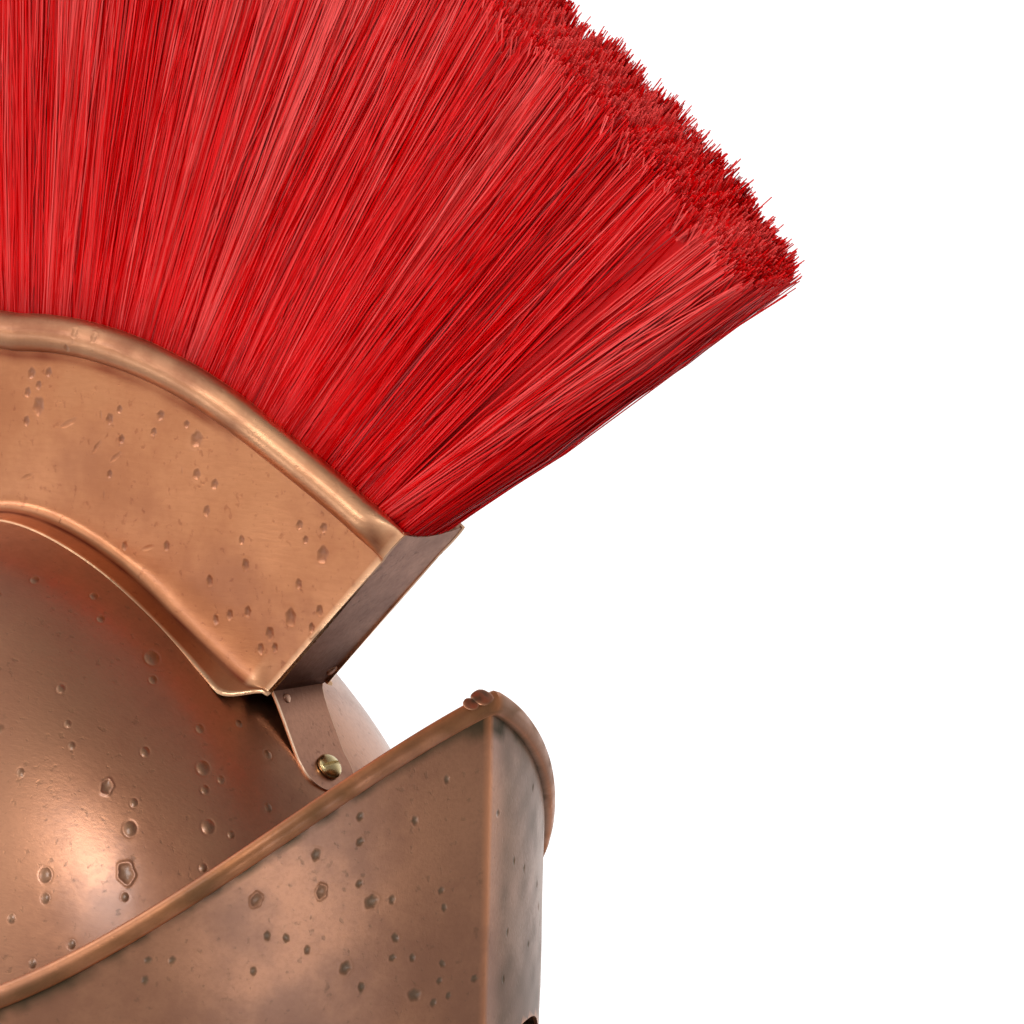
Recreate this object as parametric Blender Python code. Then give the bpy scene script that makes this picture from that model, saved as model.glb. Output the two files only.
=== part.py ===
"""Crested sheet-metal helmet with a fan of red bristles along its crown.

Row frame: metres, +Z up, the face looks along -Y, +X is the wearer's left. The
origin lies on the base plane under the middle of the dome. Shapes are worked
out as (forward, left, up) from the middle of the dome at its widest level, and
row() turns them into the row frame.
"""

import math
import random

import bmesh
import bpy
from mathutils import Vector

# Sheet and clearances
SHEET = 0.0012
SEAT_GAP = 0.0003
CURVED_SEAT_GAP = 0.0007
BOX_SEAT_GAP = 0.0005
GUARD_OFFSET = SEAT_GAP + SHEET
LAP_OFFSET = 2.0 * GUARD_OFFSET

# Dome: half length, half width, height, and how square its side view is
DOME_HALF_LENGTH = 0.1375
DOME_HALF_WIDTH = 0.1035
DOME_HEIGHT = 0.1430
DOME_SQUARENESS = 1.64
DOME_SOFTNESS = 0.06
SKIRT_DEPTH = 0.030
SKULL_FRONT_EDGE = 0.025
SKULL_FRONT_SPAN = (0.33, 0.74)
BASE_DEPTH = 0.125
SIDE_TAPER = 0.007

# Face plate: plan arcs, upper rim and the opening for the face
RIDGE_REACH = 0.1645
BROW_RADIUS = 0.1694
BROW_OFFSET = 0.0416
TEMPLE_RADIUS = 0.047
PLATE_LEAN = 0.018
RIM_PEAK = 0.1045
RIM_TEMPLE = 0.0148
RIM_LOW_POINT = 0.0358
ROLL_HEIGHT = 0.0070
ROLL_DEPTH = 0.0042
EYE_REACH = 0.066
BROW_LEVEL = 0.003
SLIT_HALF_WIDTH = 0.0185
NASAL_HALF_WIDTH = 0.0100

# Neck guard
GUARD_TOP = 0.004
GUARD_FLARE = 0.024
GUARD_WAIST = 0.006
NAPE_START = 0.42

# Crest box
BOX_WIDTH = 0.0268
BOX_REACH = 0.0964
BOX_LEAN = 45.8
WALL_HEIGHT = 0.0571
WALL_END_HEIGHT = 0.0694
BOX_LIFT = 0.0117
LIFT_START = 0.62
FLANGE_WIDTH = 0.0090
FLANGE_LIFT_SHARE = 0.30
FLANGE_ROUND_START = 0.87
BEAD_HEIGHT = 0.0110
BEAD_PROUD = 0.0040
END_DIP = 0.0026

# Straps and screws that hold the crest box down
STRAP_WIDTH = 0.0200
STRAP_STEP = 0.0096
STRAP_TIP = 0.0080
SCREW_HEAD = 0.0080
SCREW_SHANK = 0.0040
SCREW_CROWN = 0.0026
SCREW_SLOT = 0.0011

# Rivets
RIVET_HEAD = 0.0080
RIVET_SHANK = 0.0034
RIVET_CROWN = 0.0020

# Bristle crest
BRISTLE_SINK = 0.030
BRISTLE_RADIUS = 0.355
BRISTLE_CENTRE = -0.0107
BRISTLE_FAN = 48.3
BRISTLE_TIP_WIDTH = 0.0290
LOCK_RELIEF = 0.0016
LOCK_COUNT = 22

# Steps of the faceted surfaces
DOME_COLUMNS = 56
DOME_ROWS = 10
BROW_STEPS = 9
TEMPLE_STEPS = 5
GUARD_START = 15
PLATE_END = 17
BOX_STEPS = 22
SCREW_SIDES = 14
RIVET_SIDES = 10
SHEET_LEVELS = (0.0, 0.35, 0.7, 1.0)

# Face opening, right half: across as a share of EYE_REACH, down as a share of
# the depth from the brow to the base plane. The nasal and the slit keep their
# own widths.
EYE_OUTLINE = (
    # across, down
    (0.26, 0.020),
    (0.50, -0.010),
    (0.78, 0.010),
    (1.00, 0.105),
    (0.96, 0.200),
    (0.70, 0.255),
    (0.44, 0.290),
)
NASAL_LENGTH = 0.46
SLIT_TOP = 0.40

# Levels of the bristles above the box: share of their length, share of the
# relief of the locks
BRISTLE_LEVELS = (
    (0.00, 0.00),
    (0.22, 0.55),
    (0.52, 0.90),
    (0.80, 1.00),
    (1.00, 0.80),
)

# Finishes: colour, metallic, roughness
COPPER_LIGHT = ((0.55, 0.27, 0.15), 1.0, 0.38)
COPPER_DARK = ((0.30, 0.14, 0.09), 1.0, 0.36)
BRASS = ((0.62, 0.48, 0.22), 1.0, 0.30)
BRISTLE_RED = ((0.66, 0.02, 0.03), 0.0, 0.45)


def clear_scene():
    """Remove the objects that the file opened with."""
    for item in list(bpy.data.objects):
        bpy.data.objects.remove(item, do_unlink=True)


def material(name, finish):
    """A Principled material with a colour, metallic and roughness value."""
    colour, metallic, roughness = finish
    made = bpy.data.materials.new(name)
    made.use_nodes = True
    shader = made.node_tree.nodes["Principled BSDF"]
    shader.inputs["Base Color"].default_value = (*colour, 1.0)
    shader.inputs["Metallic"].default_value = metallic
    shader.inputs["Roughness"].default_value = roughness
    made.diffuse_color = (*colour, 1.0)
    return made


def add_object(name, mesh, finish_material, smooth_angle=40.0):
    """Link a mesh as an object with smooth shading and sharp creases."""
    mesh.shade_smooth()
    mesh.set_sharp_from_angle(angle=math.radians(smooth_angle))
    made = bpy.data.objects.new(name, mesh)
    if finish_material:
        mesh.materials.append(finish_material)
    bpy.context.scene.collection.objects.link(made)
    return made


def as_cutter(made):
    """Hide a guide solid that only shapes other pieces."""
    made.hide_render = True
    made.display_type = "WIRE"
    return made


def cut(target, other, operation="DIFFERENCE"):
    """Combine another solid with a piece by an exact Boolean."""
    boolean = target.modifiers.new(operation.title(), "BOOLEAN")
    boolean.operation = operation
    boolean.solver = "EXACT"
    boolean.object = other


def row(forward, left, up):
    """A point given from the middle of the dome, in the row frame."""
    return Vector((left, -forward, up + BASE_DEPTH))


def smooth_step(value):
    """0 below 0, 1 above 1, with a smooth rise between."""
    value = min(max(value, 0.0), 1.0)
    return value * value * (3.0 - 2.0 * value)


def loft(sections, closed_run=False):
    """Skin closed loops of points, in order, and cap the two end loops."""
    shape = bmesh.new()
    loops = [[shape.verts.new(point) for point in section] for section in sections]
    pairs = list(zip(loops, loops[1:]))
    if closed_run:
        pairs.append((loops[-1], loops[0]))
    for first, second in pairs:
        count = len(first)
        for index in range(count):
            after = (index + 1) % count
            shape.faces.new((first[index], first[after], second[after], second[index]))
    if not closed_run:
        shape.faces.new(reversed(loops[0]))
        shape.faces.new(loops[-1])
    bmesh.ops.triangulate(shape, faces=[face for face in shape.faces if len(face.verts) > 4])
    bmesh.ops.recalc_face_normals(shape, faces=shape.faces)
    mesh = bpy.data.meshes.new("loft")
    shape.to_mesh(mesh)
    shape.free()
    return mesh


# Dome surface


def rounded_power(share):
    """A power curve from 0 to 1 whose foot is rounded by DOME_SOFTNESS."""
    foot = DOME_SOFTNESS ** DOME_SQUARENESS
    span = (1.0 + DOME_SOFTNESS ** 2) ** (DOME_SQUARENESS / 2) - foot
    return ((share * share + DOME_SOFTNESS ** 2) ** (DOME_SQUARENESS / 2) - foot) / span


def rounded_root(value):
    """The share whose rounded_power is the value."""
    foot = DOME_SOFTNESS ** DOME_SQUARENESS
    span = (1.0 + DOME_SOFTNESS ** 2) ** (DOME_SQUARENESS / 2) - foot
    inside = (max(value, 0.0) * span + foot) ** (2 / DOME_SQUARENESS) - DOME_SOFTNESS ** 2
    return math.sqrt(max(inside, 0.0))


def dome_height(forward, left):
    """Height of the dome's outer surface above a place."""
    across = (1.0 - (left / DOME_HALF_WIDTH) ** 2) ** (DOME_SQUARENESS / 2)
    return DOME_HEIGHT * rounded_root(across - rounded_power(forward / DOME_HALF_LENGTH))


def dome_point(angle, up):
    """Point (forward, left) of the dome's outer surface at an angle and a height."""
    level = rounded_power(max(up, 0.0) / DOME_HEIGHT)
    forward = DOME_HALF_LENGTH * rounded_root(1.0 - level) * math.cos(angle)
    reach = rounded_power(forward / DOME_HALF_LENGTH) + level
    left = DOME_HALF_WIDTH * math.sqrt(max(1.0 - reach ** (2 / DOME_SQUARENESS), 0.0))
    return forward, math.copysign(left, math.sin(angle))


def skirt_frame(angle):
    """Point of the dome's widest line and the outward normal there."""
    step = 0.002
    here = dome_point(angle, 0.0)
    before = dome_point(angle - step, 0.0)
    after = dome_point(angle + step, 0.0)
    along = Vector((after[0] - before[0], after[1] - before[1])).normalized()
    return Vector(here), Vector((along.y, -along.x))


def column_angle(index):
    """Angle of one column of the dome, 0 at the front."""
    return 2.0 * math.pi * index / DOME_COLUMNS


def skull_edge(angle):
    """Level of the skull's lower edge: a low skirt, raised over the face."""
    forward = DOME_HALF_LENGTH * math.cos(angle)
    start, end = (share * DOME_HALF_LENGTH for share in SKULL_FRONT_SPAN)
    rise = smooth_step((forward - start) / (end - start))
    return -SKIRT_DEPTH + (SKULL_FRONT_EDGE + SKIRT_DEPTH) * rise


def build_skull(finish_material):
    """Dome shell: rings of the outer surface, thickened inwards."""
    shape = bmesh.new()
    apex = shape.verts.new(row(0.0, 0.0, DOME_HEIGHT))
    rings = []
    for ring in range(1, DOME_ROWS + 1):
        share = ring / DOME_ROWS
        points = []
        for index in range(DOME_COLUMNS):
            angle = column_angle(index)
            edge = skull_edge(angle)
            up = edge + (DOME_HEIGHT - edge) * math.cos(share * math.pi / 2)
            forward, left = dome_point(angle, up)
            points.append(shape.verts.new(row(forward, left, up)))
        rings.append(points)
    for index in range(DOME_COLUMNS):
        after = (index + 1) % DOME_COLUMNS
        shape.faces.new((apex, rings[0][index], rings[0][after]))
        for upper, lower in zip(rings, rings[1:]):
            shape.faces.new((upper[index], lower[index], lower[after], upper[after]))
    bmesh.ops.recalc_face_normals(shape, faces=shape.faces)
    mesh = bpy.data.meshes.new("skull")
    shape.to_mesh(mesh)
    shape.free()
    skull = add_object("skull", mesh, finish_material)
    thickness = skull.modifiers.new("Thickness", "SOLIDIFY")
    thickness.thickness = SHEET
    thickness.offset = -1.0
    thickness.use_even_offset = True
    return skull


# Sheets around the lower half


def below_skirt(up):
    """How far down from the skirt's edge to the base plane a level lies, 0 to 1."""
    return max(-SKIRT_DEPTH - up, 0.0) / (BASE_DEPTH - SKIRT_DEPTH)


def side_shift(up):
    """Outward shift of the lower sheets: they taper in below the skirt."""
    return -SIDE_TAPER * below_skirt(up) ** 1.6


def plate_shift(up):
    """Outward shift of the face plate, which also leans out above the skirt."""
    return side_shift(up) + PLATE_LEAN * max(up + SKIRT_DEPTH, 0.0)


def sheet_levels():
    """Levels of the lower sheets from the base plane to the skirt's edge."""
    return [-BASE_DEPTH + (BASE_DEPTH - SKIRT_DEPTH) * share for share in SHEET_LEVELS]


def place(point, normal, offset, up):
    """A point beside a plan curve, moved out along its normal."""
    moved = point + normal * offset
    return row(moved.x, moved.y, up)


def build_neck_guard(finish_material):
    """Rear sheet: seated outside the skirt, waisted, flared at the nape."""
    sections = []
    for index in range(GUARD_START, DOME_COLUMNS - GUARD_START + 1):
        point, normal = skirt_frame(column_angle(index))
        rear = smooth_step((-math.cos(column_angle(index)) - NAPE_START) / (1.0 - NAPE_START))
        section = []
        for up in sheet_levels():
            share = below_skirt(up)
            waist = -GUARD_WAIST * math.sin(math.pi * min(share * 1.4, 1.0))
            flare = GUARD_FLARE * share ** 2.4
            offset = GUARD_OFFSET + side_shift(up) * (1.0 - rear) + (waist + flare) * rear
            section.append((offset, up))
        section.append((GUARD_OFFSET, -GUARD_TOP))
        outer = [place(point, normal, offset, up) for offset, up in section]
        inner = [place(point, normal, offset - SHEET, up) for offset, up in section]
        sections.append(outer + inner[::-1])
    return add_object("neck_guard", loft(sections), finish_material)


def plate_plan():
    """Plan of the face plate's outer side, from the ridge to the left rear edge.

    A brow arc, a tighter temple arc, a straight run tangent to both it and the
    skull, then a lap that follows the neck guard.
    """
    laps = []
    for index in range(GUARD_START, PLATE_END + 1):
        point, normal = skirt_frame(column_angle(index))
        laps.append((point + normal * LAP_OFFSET, normal))
    start, face = laps[0]
    brow = Vector((RIDGE_REACH - math.sqrt(BROW_RADIUS ** 2 - BROW_OFFSET ** 2), -BROW_OFFSET))
    spread = BROW_RADIUS - TEMPLE_RADIUS
    heading = math.atan2(face.y, face.x)
    turn = math.acos(min((face.dot(start - brow) - TEMPLE_RADIUS) / spread, 1.0))
    join = heading - turn
    ridge = math.asin(BROW_OFFSET / BROW_RADIUS)
    temple = brow + spread * Vector((math.cos(join), math.sin(join)))
    plan = []
    for step in range(BROW_STEPS):
        angle = ridge + (join - ridge) * step / BROW_STEPS
        normal = Vector((math.cos(angle), math.sin(angle)))
        plan.append((brow + BROW_RADIUS * normal, normal))
    for step in range(TEMPLE_STEPS + 1):
        angle = join + (heading - join) * step / TEMPLE_STEPS
        normal = Vector((math.cos(angle), math.sin(angle)))
        plan.append((temple + TEMPLE_RADIUS * normal, normal))
    plan[0] = (Vector((RIDGE_REACH, 0.0)), Vector((1.0 / math.cos(ridge), 0.0)))
    return plan + laps


def rim_level(forward):
    """Top of the rolled rim: highest at the ridge, level behind the temples."""
    share = max(forward - RIM_LOW_POINT, 0.0) / (RIDGE_REACH - RIM_LOW_POINT)
    return RIM_TEMPLE + (RIM_PEAK - RIM_TEMPLE) * share ** 2


def plate_section(point, normal):
    """Closed section of the plate at one place of its plan, with its rolled rim."""
    middle = rim_level(point.x) - ROLL_HEIGHT / 2
    section = [(0.0, up) for up in sheet_levels()]
    section.append((0.0, middle - ROLL_HEIGHT * 0.52))
    for step in range(7):
        turn = math.radians(-60 + 40 * step)
        out = ROLL_DEPTH / 2 - SHEET + ROLL_DEPTH / 2 * math.cos(turn)
        section.append((out, middle + ROLL_HEIGHT / 2 * math.sin(turn)))
    section += [(-SHEET, up) for up in reversed(sheet_levels())]
    return [place(point, normal, out + plate_shift(up), up) for out, up in section]


def mirrored(section):
    """The same section on the other side of the helmet."""
    return [Vector((-point.x, point.y, point.z)) for point in section]


def rounded_outline(points, steps=3):
    """A smooth open curve through a few chosen points."""
    ends = [points[0], *points, points[-1]]
    curve = []
    for before, start, end, after in zip(ends, ends[1:], ends[2:], ends[3:]):
        for step in range(steps):
            t = step / steps
            curve.append(tuple(
                0.5 * (2 * b + (c - a) * t + (2 * a - 5 * b + 4 * c - d) * t ** 2
                       + (3 * b - a - 3 * c + d) * t ** 3)
                for a, b, c, d in zip(before, start, end, after)))
    curve.append(points[-1])
    return curve


def face_cutter():
    """Prism with the outline of the face opening: eyes, nasal and slit."""
    depth = BROW_LEVEL + BASE_DEPTH
    eye = rounded_outline([(across * EYE_REACH, BROW_LEVEL - down * depth)
                           for across, down in EYE_OUTLINE])
    tip = BROW_LEVEL - NASAL_LENGTH * depth
    nasal = [
        (NASAL_HALF_WIDTH * 0.45, tip),
        (NASAL_HALF_WIDTH * 0.85, tip + NASAL_HALF_WIDTH * 0.5),
        (NASAL_HALF_WIDTH, tip + NASAL_HALF_WIDTH * 1.4),
        (NASAL_HALF_WIDTH, BROW_LEVEL - 0.13 * depth),
    ]
    slit = [
        (SLIT_HALF_WIDTH, BROW_LEVEL - SLIT_TOP * depth),
        (SLIT_HALF_WIDTH, -BASE_DEPTH - SLIT_HALF_WIDTH),
    ]
    half = nasal + eye + slit
    outline = half + [(-across, up) for across, up in reversed(half)]
    near, far = RIDGE_REACH * 0.5, RIDGE_REACH * 1.2
    sections = [[row(forward, across, up) for across, up in outline] for forward in (near, far)]
    return as_cutter(add_object("face_opening_cutter", loft(sections), None))


def build_face_plate(finish_material):
    """Wrap-around plate with its rolled rim, ridge and face opening."""
    left = [plate_section(point, normal) for point, normal in plate_plan()]
    right = [mirrored(section) for section in left[:0:-1]]
    plate = add_object("face_plate", loft(right + left), finish_material, 12.0)
    cut(plate, face_cutter())
    return plate


# Crest box


def box_lift(forward):
    """How far the crest box rises off the dome towards its ends."""
    start = LIFT_START * BOX_REACH
    share = max(abs(forward) - start, 0.0) / (BOX_REACH - start)
    return BOX_LIFT * share ** 1.8


def box_under(forward, left, lift_share=1.0):
    """Level of the underside of the crest box over the dome."""
    return dome_height(forward, left) + BOX_SEAT_GAP + box_lift(forward) * lift_share


def box_line(share):
    """Foot, direction and height of the crest wall at a share of its half length."""
    forward = BOX_REACH * share
    foot = Vector((forward, box_under(forward, BOX_WIDTH / 2) + SHEET))
    lean = math.radians(BOX_LEAN) * share
    direction = Vector((math.sin(lean), math.cos(lean)))
    growth = math.sin(abs(share) * math.pi / 2) ** 1.15
    return foot, direction, WALL_HEIGHT + (WALL_END_HEIGHT - WALL_HEIGHT) * growth


def box_top(share, sink=0.0):
    """Point (forward, up) of the crest wall's top edge, or below it."""
    foot, direction, height = box_line(share)
    return foot + direction * (height - sink)


def flange_width(share):
    """Width of the foot flange, rounded off at the ends of the box."""
    past = max(abs(share) - FLANGE_ROUND_START, 0.0) / (1.0 - FLANGE_ROUND_START)
    return max(FLANGE_WIDTH * (1.0 - past ** 1.5), SHEET)


def bead_proud(share):
    """How far the bead stands out of the wall: it fades at the box's corners."""
    return BEAD_PROUD * (1.0 - 0.7 * smooth_step((abs(share) - 0.93) / 0.07))


def wall_section(share, side):
    """Closed section of one crest wall: flange, wall and beaded top edge."""
    half = BOX_WIDTH / 2
    foot, direction, height = box_line(share)
    forward = foot.x
    width = flange_width(share)
    edge = half + width
    lift_share = 1.0 - (1.0 - FLANGE_LIFT_SHARE) * (width / FLANGE_WIDTH) ** 2
    edge_under = box_under(forward, edge, lift_share)
    bead = [(BEAD_HEIGHT / 2 * (1.0 + math.cos(math.radians(turn))),
             bead_proud(share) * math.sin(math.radians(turn)))
            for turn in (0, 36, 72, 108, 144, 180)]
    section = [row(forward, edge, edge_under + SHEET), row(forward, half, foot.y)]
    for sink, proud in bead:
        point = foot + direction * (height - sink)
        section.append(row(point.x, half + proud, point.y))
    for sink, proud in reversed(bead):
        point = foot + direction * (height - sink)
        section.append(row(point.x, half - SHEET + proud, point.y))
    section.append(row(forward, half - SHEET, box_under(forward, half - SHEET)))
    section.append(row(forward, edge, edge_under))
    return section if side > 0 else mirrored(section)


def crest_wall(name, side, finish_material):
    """One long wall of the crest box."""
    sections = [wall_section(step / BOX_STEPS * 2.0 - 1.0, side) for step in range(BOX_STEPS + 1)]
    return add_object(name, loft(sections), finish_material)


def screw_frame(end):
    """Point on the dome under the screw of one end, and the outward normal."""
    forward = BOX_REACH + STRAP_STEP
    step = 0.001
    slope = (dome_height(forward + step, 0.0) - dome_height(forward - step, 0.0)) / (2.0 * step)
    normal = Vector((-slope, 1.0)).normalized()
    point = Vector((forward, dome_height(forward, 0.0)))
    return Vector((point.x * end, point.y)), Vector((normal.x * end, normal.y))


def strap_path():
    """Side view of the front end plate and strap, with half widths.

    Each row is the outer face's point (forward, up), the half width and the dip
    of the middle. The strap lands on the dome at the screw.
    """
    half = BOX_WIDTH / 2 - SHEET * 0.35
    foot, direction, height = box_line(1.0)
    skin = Vector((direction.y, -direction.x)) * -0.00015
    low = foot + skin
    seat, normal = screw_frame(1)
    seat = seat + normal * (SEAT_GAP + SHEET)
    along = Vector((normal.y, -normal.x))
    tip = STRAP_WIDTH / 2
    rows = [
        (low + direction * height, half, END_DIP),
        (low + direction * (height - 2.5 * END_DIP), half, 0.0),
        (low + direction * (STRAP_STEP * 0.3), half, 0.0),
        (low, half, 0.0),
        (low - direction * SHEET + along * SHEET * 0.2, STRAP_WIDTH / 2, 0.0),
        (seat - along * STRAP_TIP * 0.55, STRAP_WIDTH / 2, 0.0),
    ]
    for turn in (0, 25, 50, 70, 84):
        reach = math.radians(turn)
        rows.append((seat + along * tip * math.sin(reach) * STRAP_TIP / tip,
                     tip * math.cos(reach), 0.0))
    return rows


def strip_section(previous, here, following, half, dip):
    """Closed section across a bent strip: outer face and inner face."""
    along = (following - previous).normalized()
    inward = Vector((along.y, -along.x)) * SHEET
    outer = []
    inner = []
    for step in range(5):
        share = step / 2.0 - 1.0
        sink = along * dip * (1.0 - share ** 2)
        point = here + sink
        outer.append(row(point.x, share * half, point.y))
        inner.append(row(point.x + inward.x, share * half, point.y + inward.y))
    return outer + inner[::-1]


def crest_end(name, end, finish_material):
    """End plate of the crest box with the strap that runs down to the dome."""
    rows = strap_path()
    points = [point for point, _, _ in rows]
    sections = []
    for index, (point, half, dip) in enumerate(rows):
        previous = points[max(index - 1, 0)]
        following = points[min(index + 1, len(points) - 1)]
        sections.append(strip_section(previous, point, following, half, dip))
    if end < 0:
        sections = [[Vector((point.x, -point.y, point.z)) for point in section]
                    for section in sections]
    return add_object(name, loft(sections), finish_material)


def build_crest_box(finish_material):
    """Walls, end plates and straps, soldered together into one piece."""
    box = crest_wall("crest_box", 1, finish_material)
    cut(box, as_cutter(crest_wall("crest_box_other_wall", -1, None)), "UNION")
    cut(box, as_cutter(crest_end("crest_box_front_end", 1, None)), "UNION")
    cut(box, as_cutter(crest_end("crest_box_rear_end", -1, None)), "UNION")
    return box


# Fasteners


def turned(name, profile, sides, origin, axis, finish_material):
    """A solid turned about an axis from (radius, height) points, top to bottom."""
    turn_to_axis = axis.to_track_quat("Z", "Y")
    shape = bmesh.new()
    top = shape.verts.new((0.0, 0.0, profile[0][1]))
    bottom = shape.verts.new((0.0, 0.0, profile[-1][1]))
    rings = []
    for radius, height in profile[1:-1]:
        turns = [2 * math.pi * side / sides for side in range(sides)]
        rings.append([shape.verts.new((radius * math.cos(turn), radius * math.sin(turn), height))
                      for turn in turns])
    for side in range(sides):
        after = (side + 1) % sides
        shape.faces.new((top, rings[0][side], rings[0][after]))
        for upper, lower in zip(rings, rings[1:]):
            shape.faces.new((upper[side], lower[side], lower[after], upper[after]))
        shape.faces.new((bottom, rings[-1][after], rings[-1][side]))
    mesh = bpy.data.meshes.new(name)
    bmesh.ops.recalc_face_normals(shape, faces=shape.faces)
    shape.to_mesh(mesh)
    shape.free()
    made = add_object(name, mesh, finish_material)
    made.rotation_mode = "QUATERNION"
    made.rotation_quaternion = turn_to_axis
    made.location = origin
    return made


def fastener_profile(head, shank, crown, stack):
    """Domed head on top of a stack of sheets, shank through it, closed end below.

    Height 0 is the outer face of the stack and -stack is its inner face.
    """
    seat = SEAT_GAP
    radius = head / 2
    under = -stack - CURVED_SEAT_GAP
    return [
        (0.0, seat + crown),
        (radius * 0.50, seat + crown * 0.88),
        (radius * 0.86, seat + crown * 0.50),
        (radius, seat),
        (shank / 2, seat),
        (shank / 2, under),
        (radius * 0.85, under),
        (radius * 0.85, under - SHEET),
        (0.0, under - SHEET),
    ]


def shank_hole(name, shank, sides, origin, axis):
    """Guide cylinder for the hole that a shank passes with clearance."""
    radius = shank / 2 + SEAT_GAP
    reach = 0.010
    profile = [(0.0, reach), (radius, reach), (radius, -reach), (0.0, -reach)]
    return as_cutter(turned(name, profile, sides, origin, axis, None))


def build_screw(name, end, pieces, finish_material):
    """Slotted screw through a strap and the dome, closed at its inner end."""
    point, normal = screw_frame(end)
    face = point + normal * (SEAT_GAP + SHEET)
    axis = row(normal.x, 0.0, normal.y) - row(0.0, 0.0, 0.0)
    origin = row(face.x, 0.0, face.y)
    stack = 2.0 * SHEET + SEAT_GAP
    profile = fastener_profile(SCREW_HEAD, SCREW_SHANK, SCREW_CROWN, stack)
    screw = turned(name, profile, SCREW_SIDES, origin, axis, finish_material)
    slot = bmesh.new()
    bmesh.ops.create_cube(slot, size=1.0)
    bmesh.ops.scale(slot, verts=slot.verts, vec=(SCREW_HEAD * 1.4, SCREW_SLOT, SCREW_CROWN))
    mesh = bpy.data.meshes.new(name + "_slot")
    slot.to_mesh(mesh)
    slot.free()
    slot_cutter = as_cutter(add_object(name + "_slot_cutter", mesh, None))
    slot_cutter.rotation_mode = "QUATERNION"
    slot_cutter.rotation_quaternion = axis.to_track_quat("Z", "Y")
    slot_cutter.location = origin + axis * (SEAT_GAP + SCREW_CROWN)
    cut(screw, slot_cutter)
    hole = shank_hole(name + "_hole_cutter", SCREW_SHANK, SCREW_SIDES, origin, axis)
    for piece in pieces:
        cut(piece, hole)


def build_rivet(name, column, up, sheets, pieces, finish_material):
    """Round-headed rivet through the sheets that lap at one place of the skirt.

    sheets is (inner, outer) distances of the stack's faces from the dome's
    widest line.
    """
    point, normal = skirt_frame(column_angle(column))
    inner, outer = sheets
    face = point + normal * outer
    axis = row(normal.x, normal.y, 0.0) - row(0.0, 0.0, 0.0)
    origin = row(face.x, face.y, up)
    profile = fastener_profile(RIVET_HEAD, RIVET_SHANK, RIVET_CROWN, outer - inner)
    turned(name, profile, RIVET_SIDES, origin, axis, finish_material)
    hole = shank_hole(name + "_hole_cutter", RIVET_SHANK, RIVET_SIDES, origin, axis)
    for piece in pieces:
        cut(piece, hole)


def build_rivets(skull, guard, plate, finish_material):
    """Rivets of the two laps, then those that hold the guard behind the head."""
    lap = (GUARD_START + PLATE_END) // 2
    levels = (
        # name, level as a share of the skirt or of the sheets below it
        ("upper", -SKIRT_DEPTH * 0.34, True),
        ("middle", -SKIRT_DEPTH * 0.78, True),
        ("low", -SKIRT_DEPTH - (BASE_DEPTH - SKIRT_DEPTH) * 0.40, False),
        ("lowest", -SKIRT_DEPTH - (BASE_DEPTH - SKIRT_DEPTH) * 0.82, False),
    )
    for side, column in (("left", lap), ("right", DOME_COLUMNS - lap)):
        for name, up, through_skull in levels:
            inner = -SHEET if through_skull else SEAT_GAP + side_shift(up)
            pieces = (plate, guard, skull) if through_skull else (plate, guard)
            outer = LAP_OFFSET + plate_shift(up)
            build_rivet(f"side_rivet_{name}_{side}", column, up, (inner, outer), pieces,
                        finish_material)
    for number, share in enumerate((-1.0, -0.5, 0.0, 0.5, 1.0), start=1):
        column = DOME_COLUMNS // 2 + round(share * DOME_COLUMNS * 0.1875)
        build_rivet(f"neck_rivet_{number}", column, -SKIRT_DEPTH * 0.55, (-SHEET, GUARD_OFFSET),
                    (guard, skull), finish_material)


# Bristle crest


def lock_stations():
    """Places along the fan, -1 to 1, with the relief of the sides and of the tips.

    A lock is two crowns between two grooves, and no two locks are as wide.
    """
    draw = random.Random(5)
    widths = [draw.uniform(0.7, 1.3) for _ in range(LOCK_COUNT)]
    total = sum(widths)
    stations = []
    place_now = -1.0
    for width in widths:
        width = 2.0 * width / total
        stations.append((place_now, -0.6, -0.4))
        for share in (0.36, 0.70):
            crown = (place_now + width * share, draw.uniform(0.5, 1.0), draw.uniform(0.2, 1.0))
            stations.append(crown)
        place_now += width
    stations.append((1.0, -0.6, -0.4))
    return stations


def bristle_tip(share, extra=0.0):
    """Point (forward, up) of the bristles' cut ends at a share of the fan."""
    angle = math.radians(BRISTLE_FAN) * share
    reach = BRISTLE_RADIUS + extra
    return Vector((reach * math.sin(angle), BRISTLE_CENTRE + reach * math.cos(angle)))


def bristle_section(share, relief, tip_relief):
    """Closed section of the bristles: seat in the box, two sides, cut ends."""
    inside = share * (1.0 - (SHEET + 2.0 * SEAT_GAP) / BOX_REACH)
    seat_half = BOX_WIDTH / 2 - SHEET - SEAT_GAP
    seat = box_top(inside, BRISTLE_SINK)
    root = box_top(inside)
    tip = bristle_tip(share, tip_relief * LOCK_RELIEF)
    side = [row(seat.x, seat_half, seat.y)]
    for length, relief_share in BRISTLE_LEVELS:
        point = root.lerp(tip, length)
        half = seat_half + (BRISTLE_TIP_WIDTH / 2 - seat_half) * length
        half += LOCK_RELIEF * relief * relief_share
        side.append(row(point.x, half, point.y))
    crown = bristle_tip(share, (tip_relief + 1.0) * LOCK_RELIEF)
    return side + [row(crown.x, 0.0, crown.y)] + mirrored(side)[::-1]


def build_bristles(finish_material):
    """Fan of bristle locks fused to the backing that fills the box's mouth."""
    sections = [bristle_section(*station) for station in lock_stations()]
    return add_object("bristle_crest", loft(sections), finish_material, 30.0)


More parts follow.
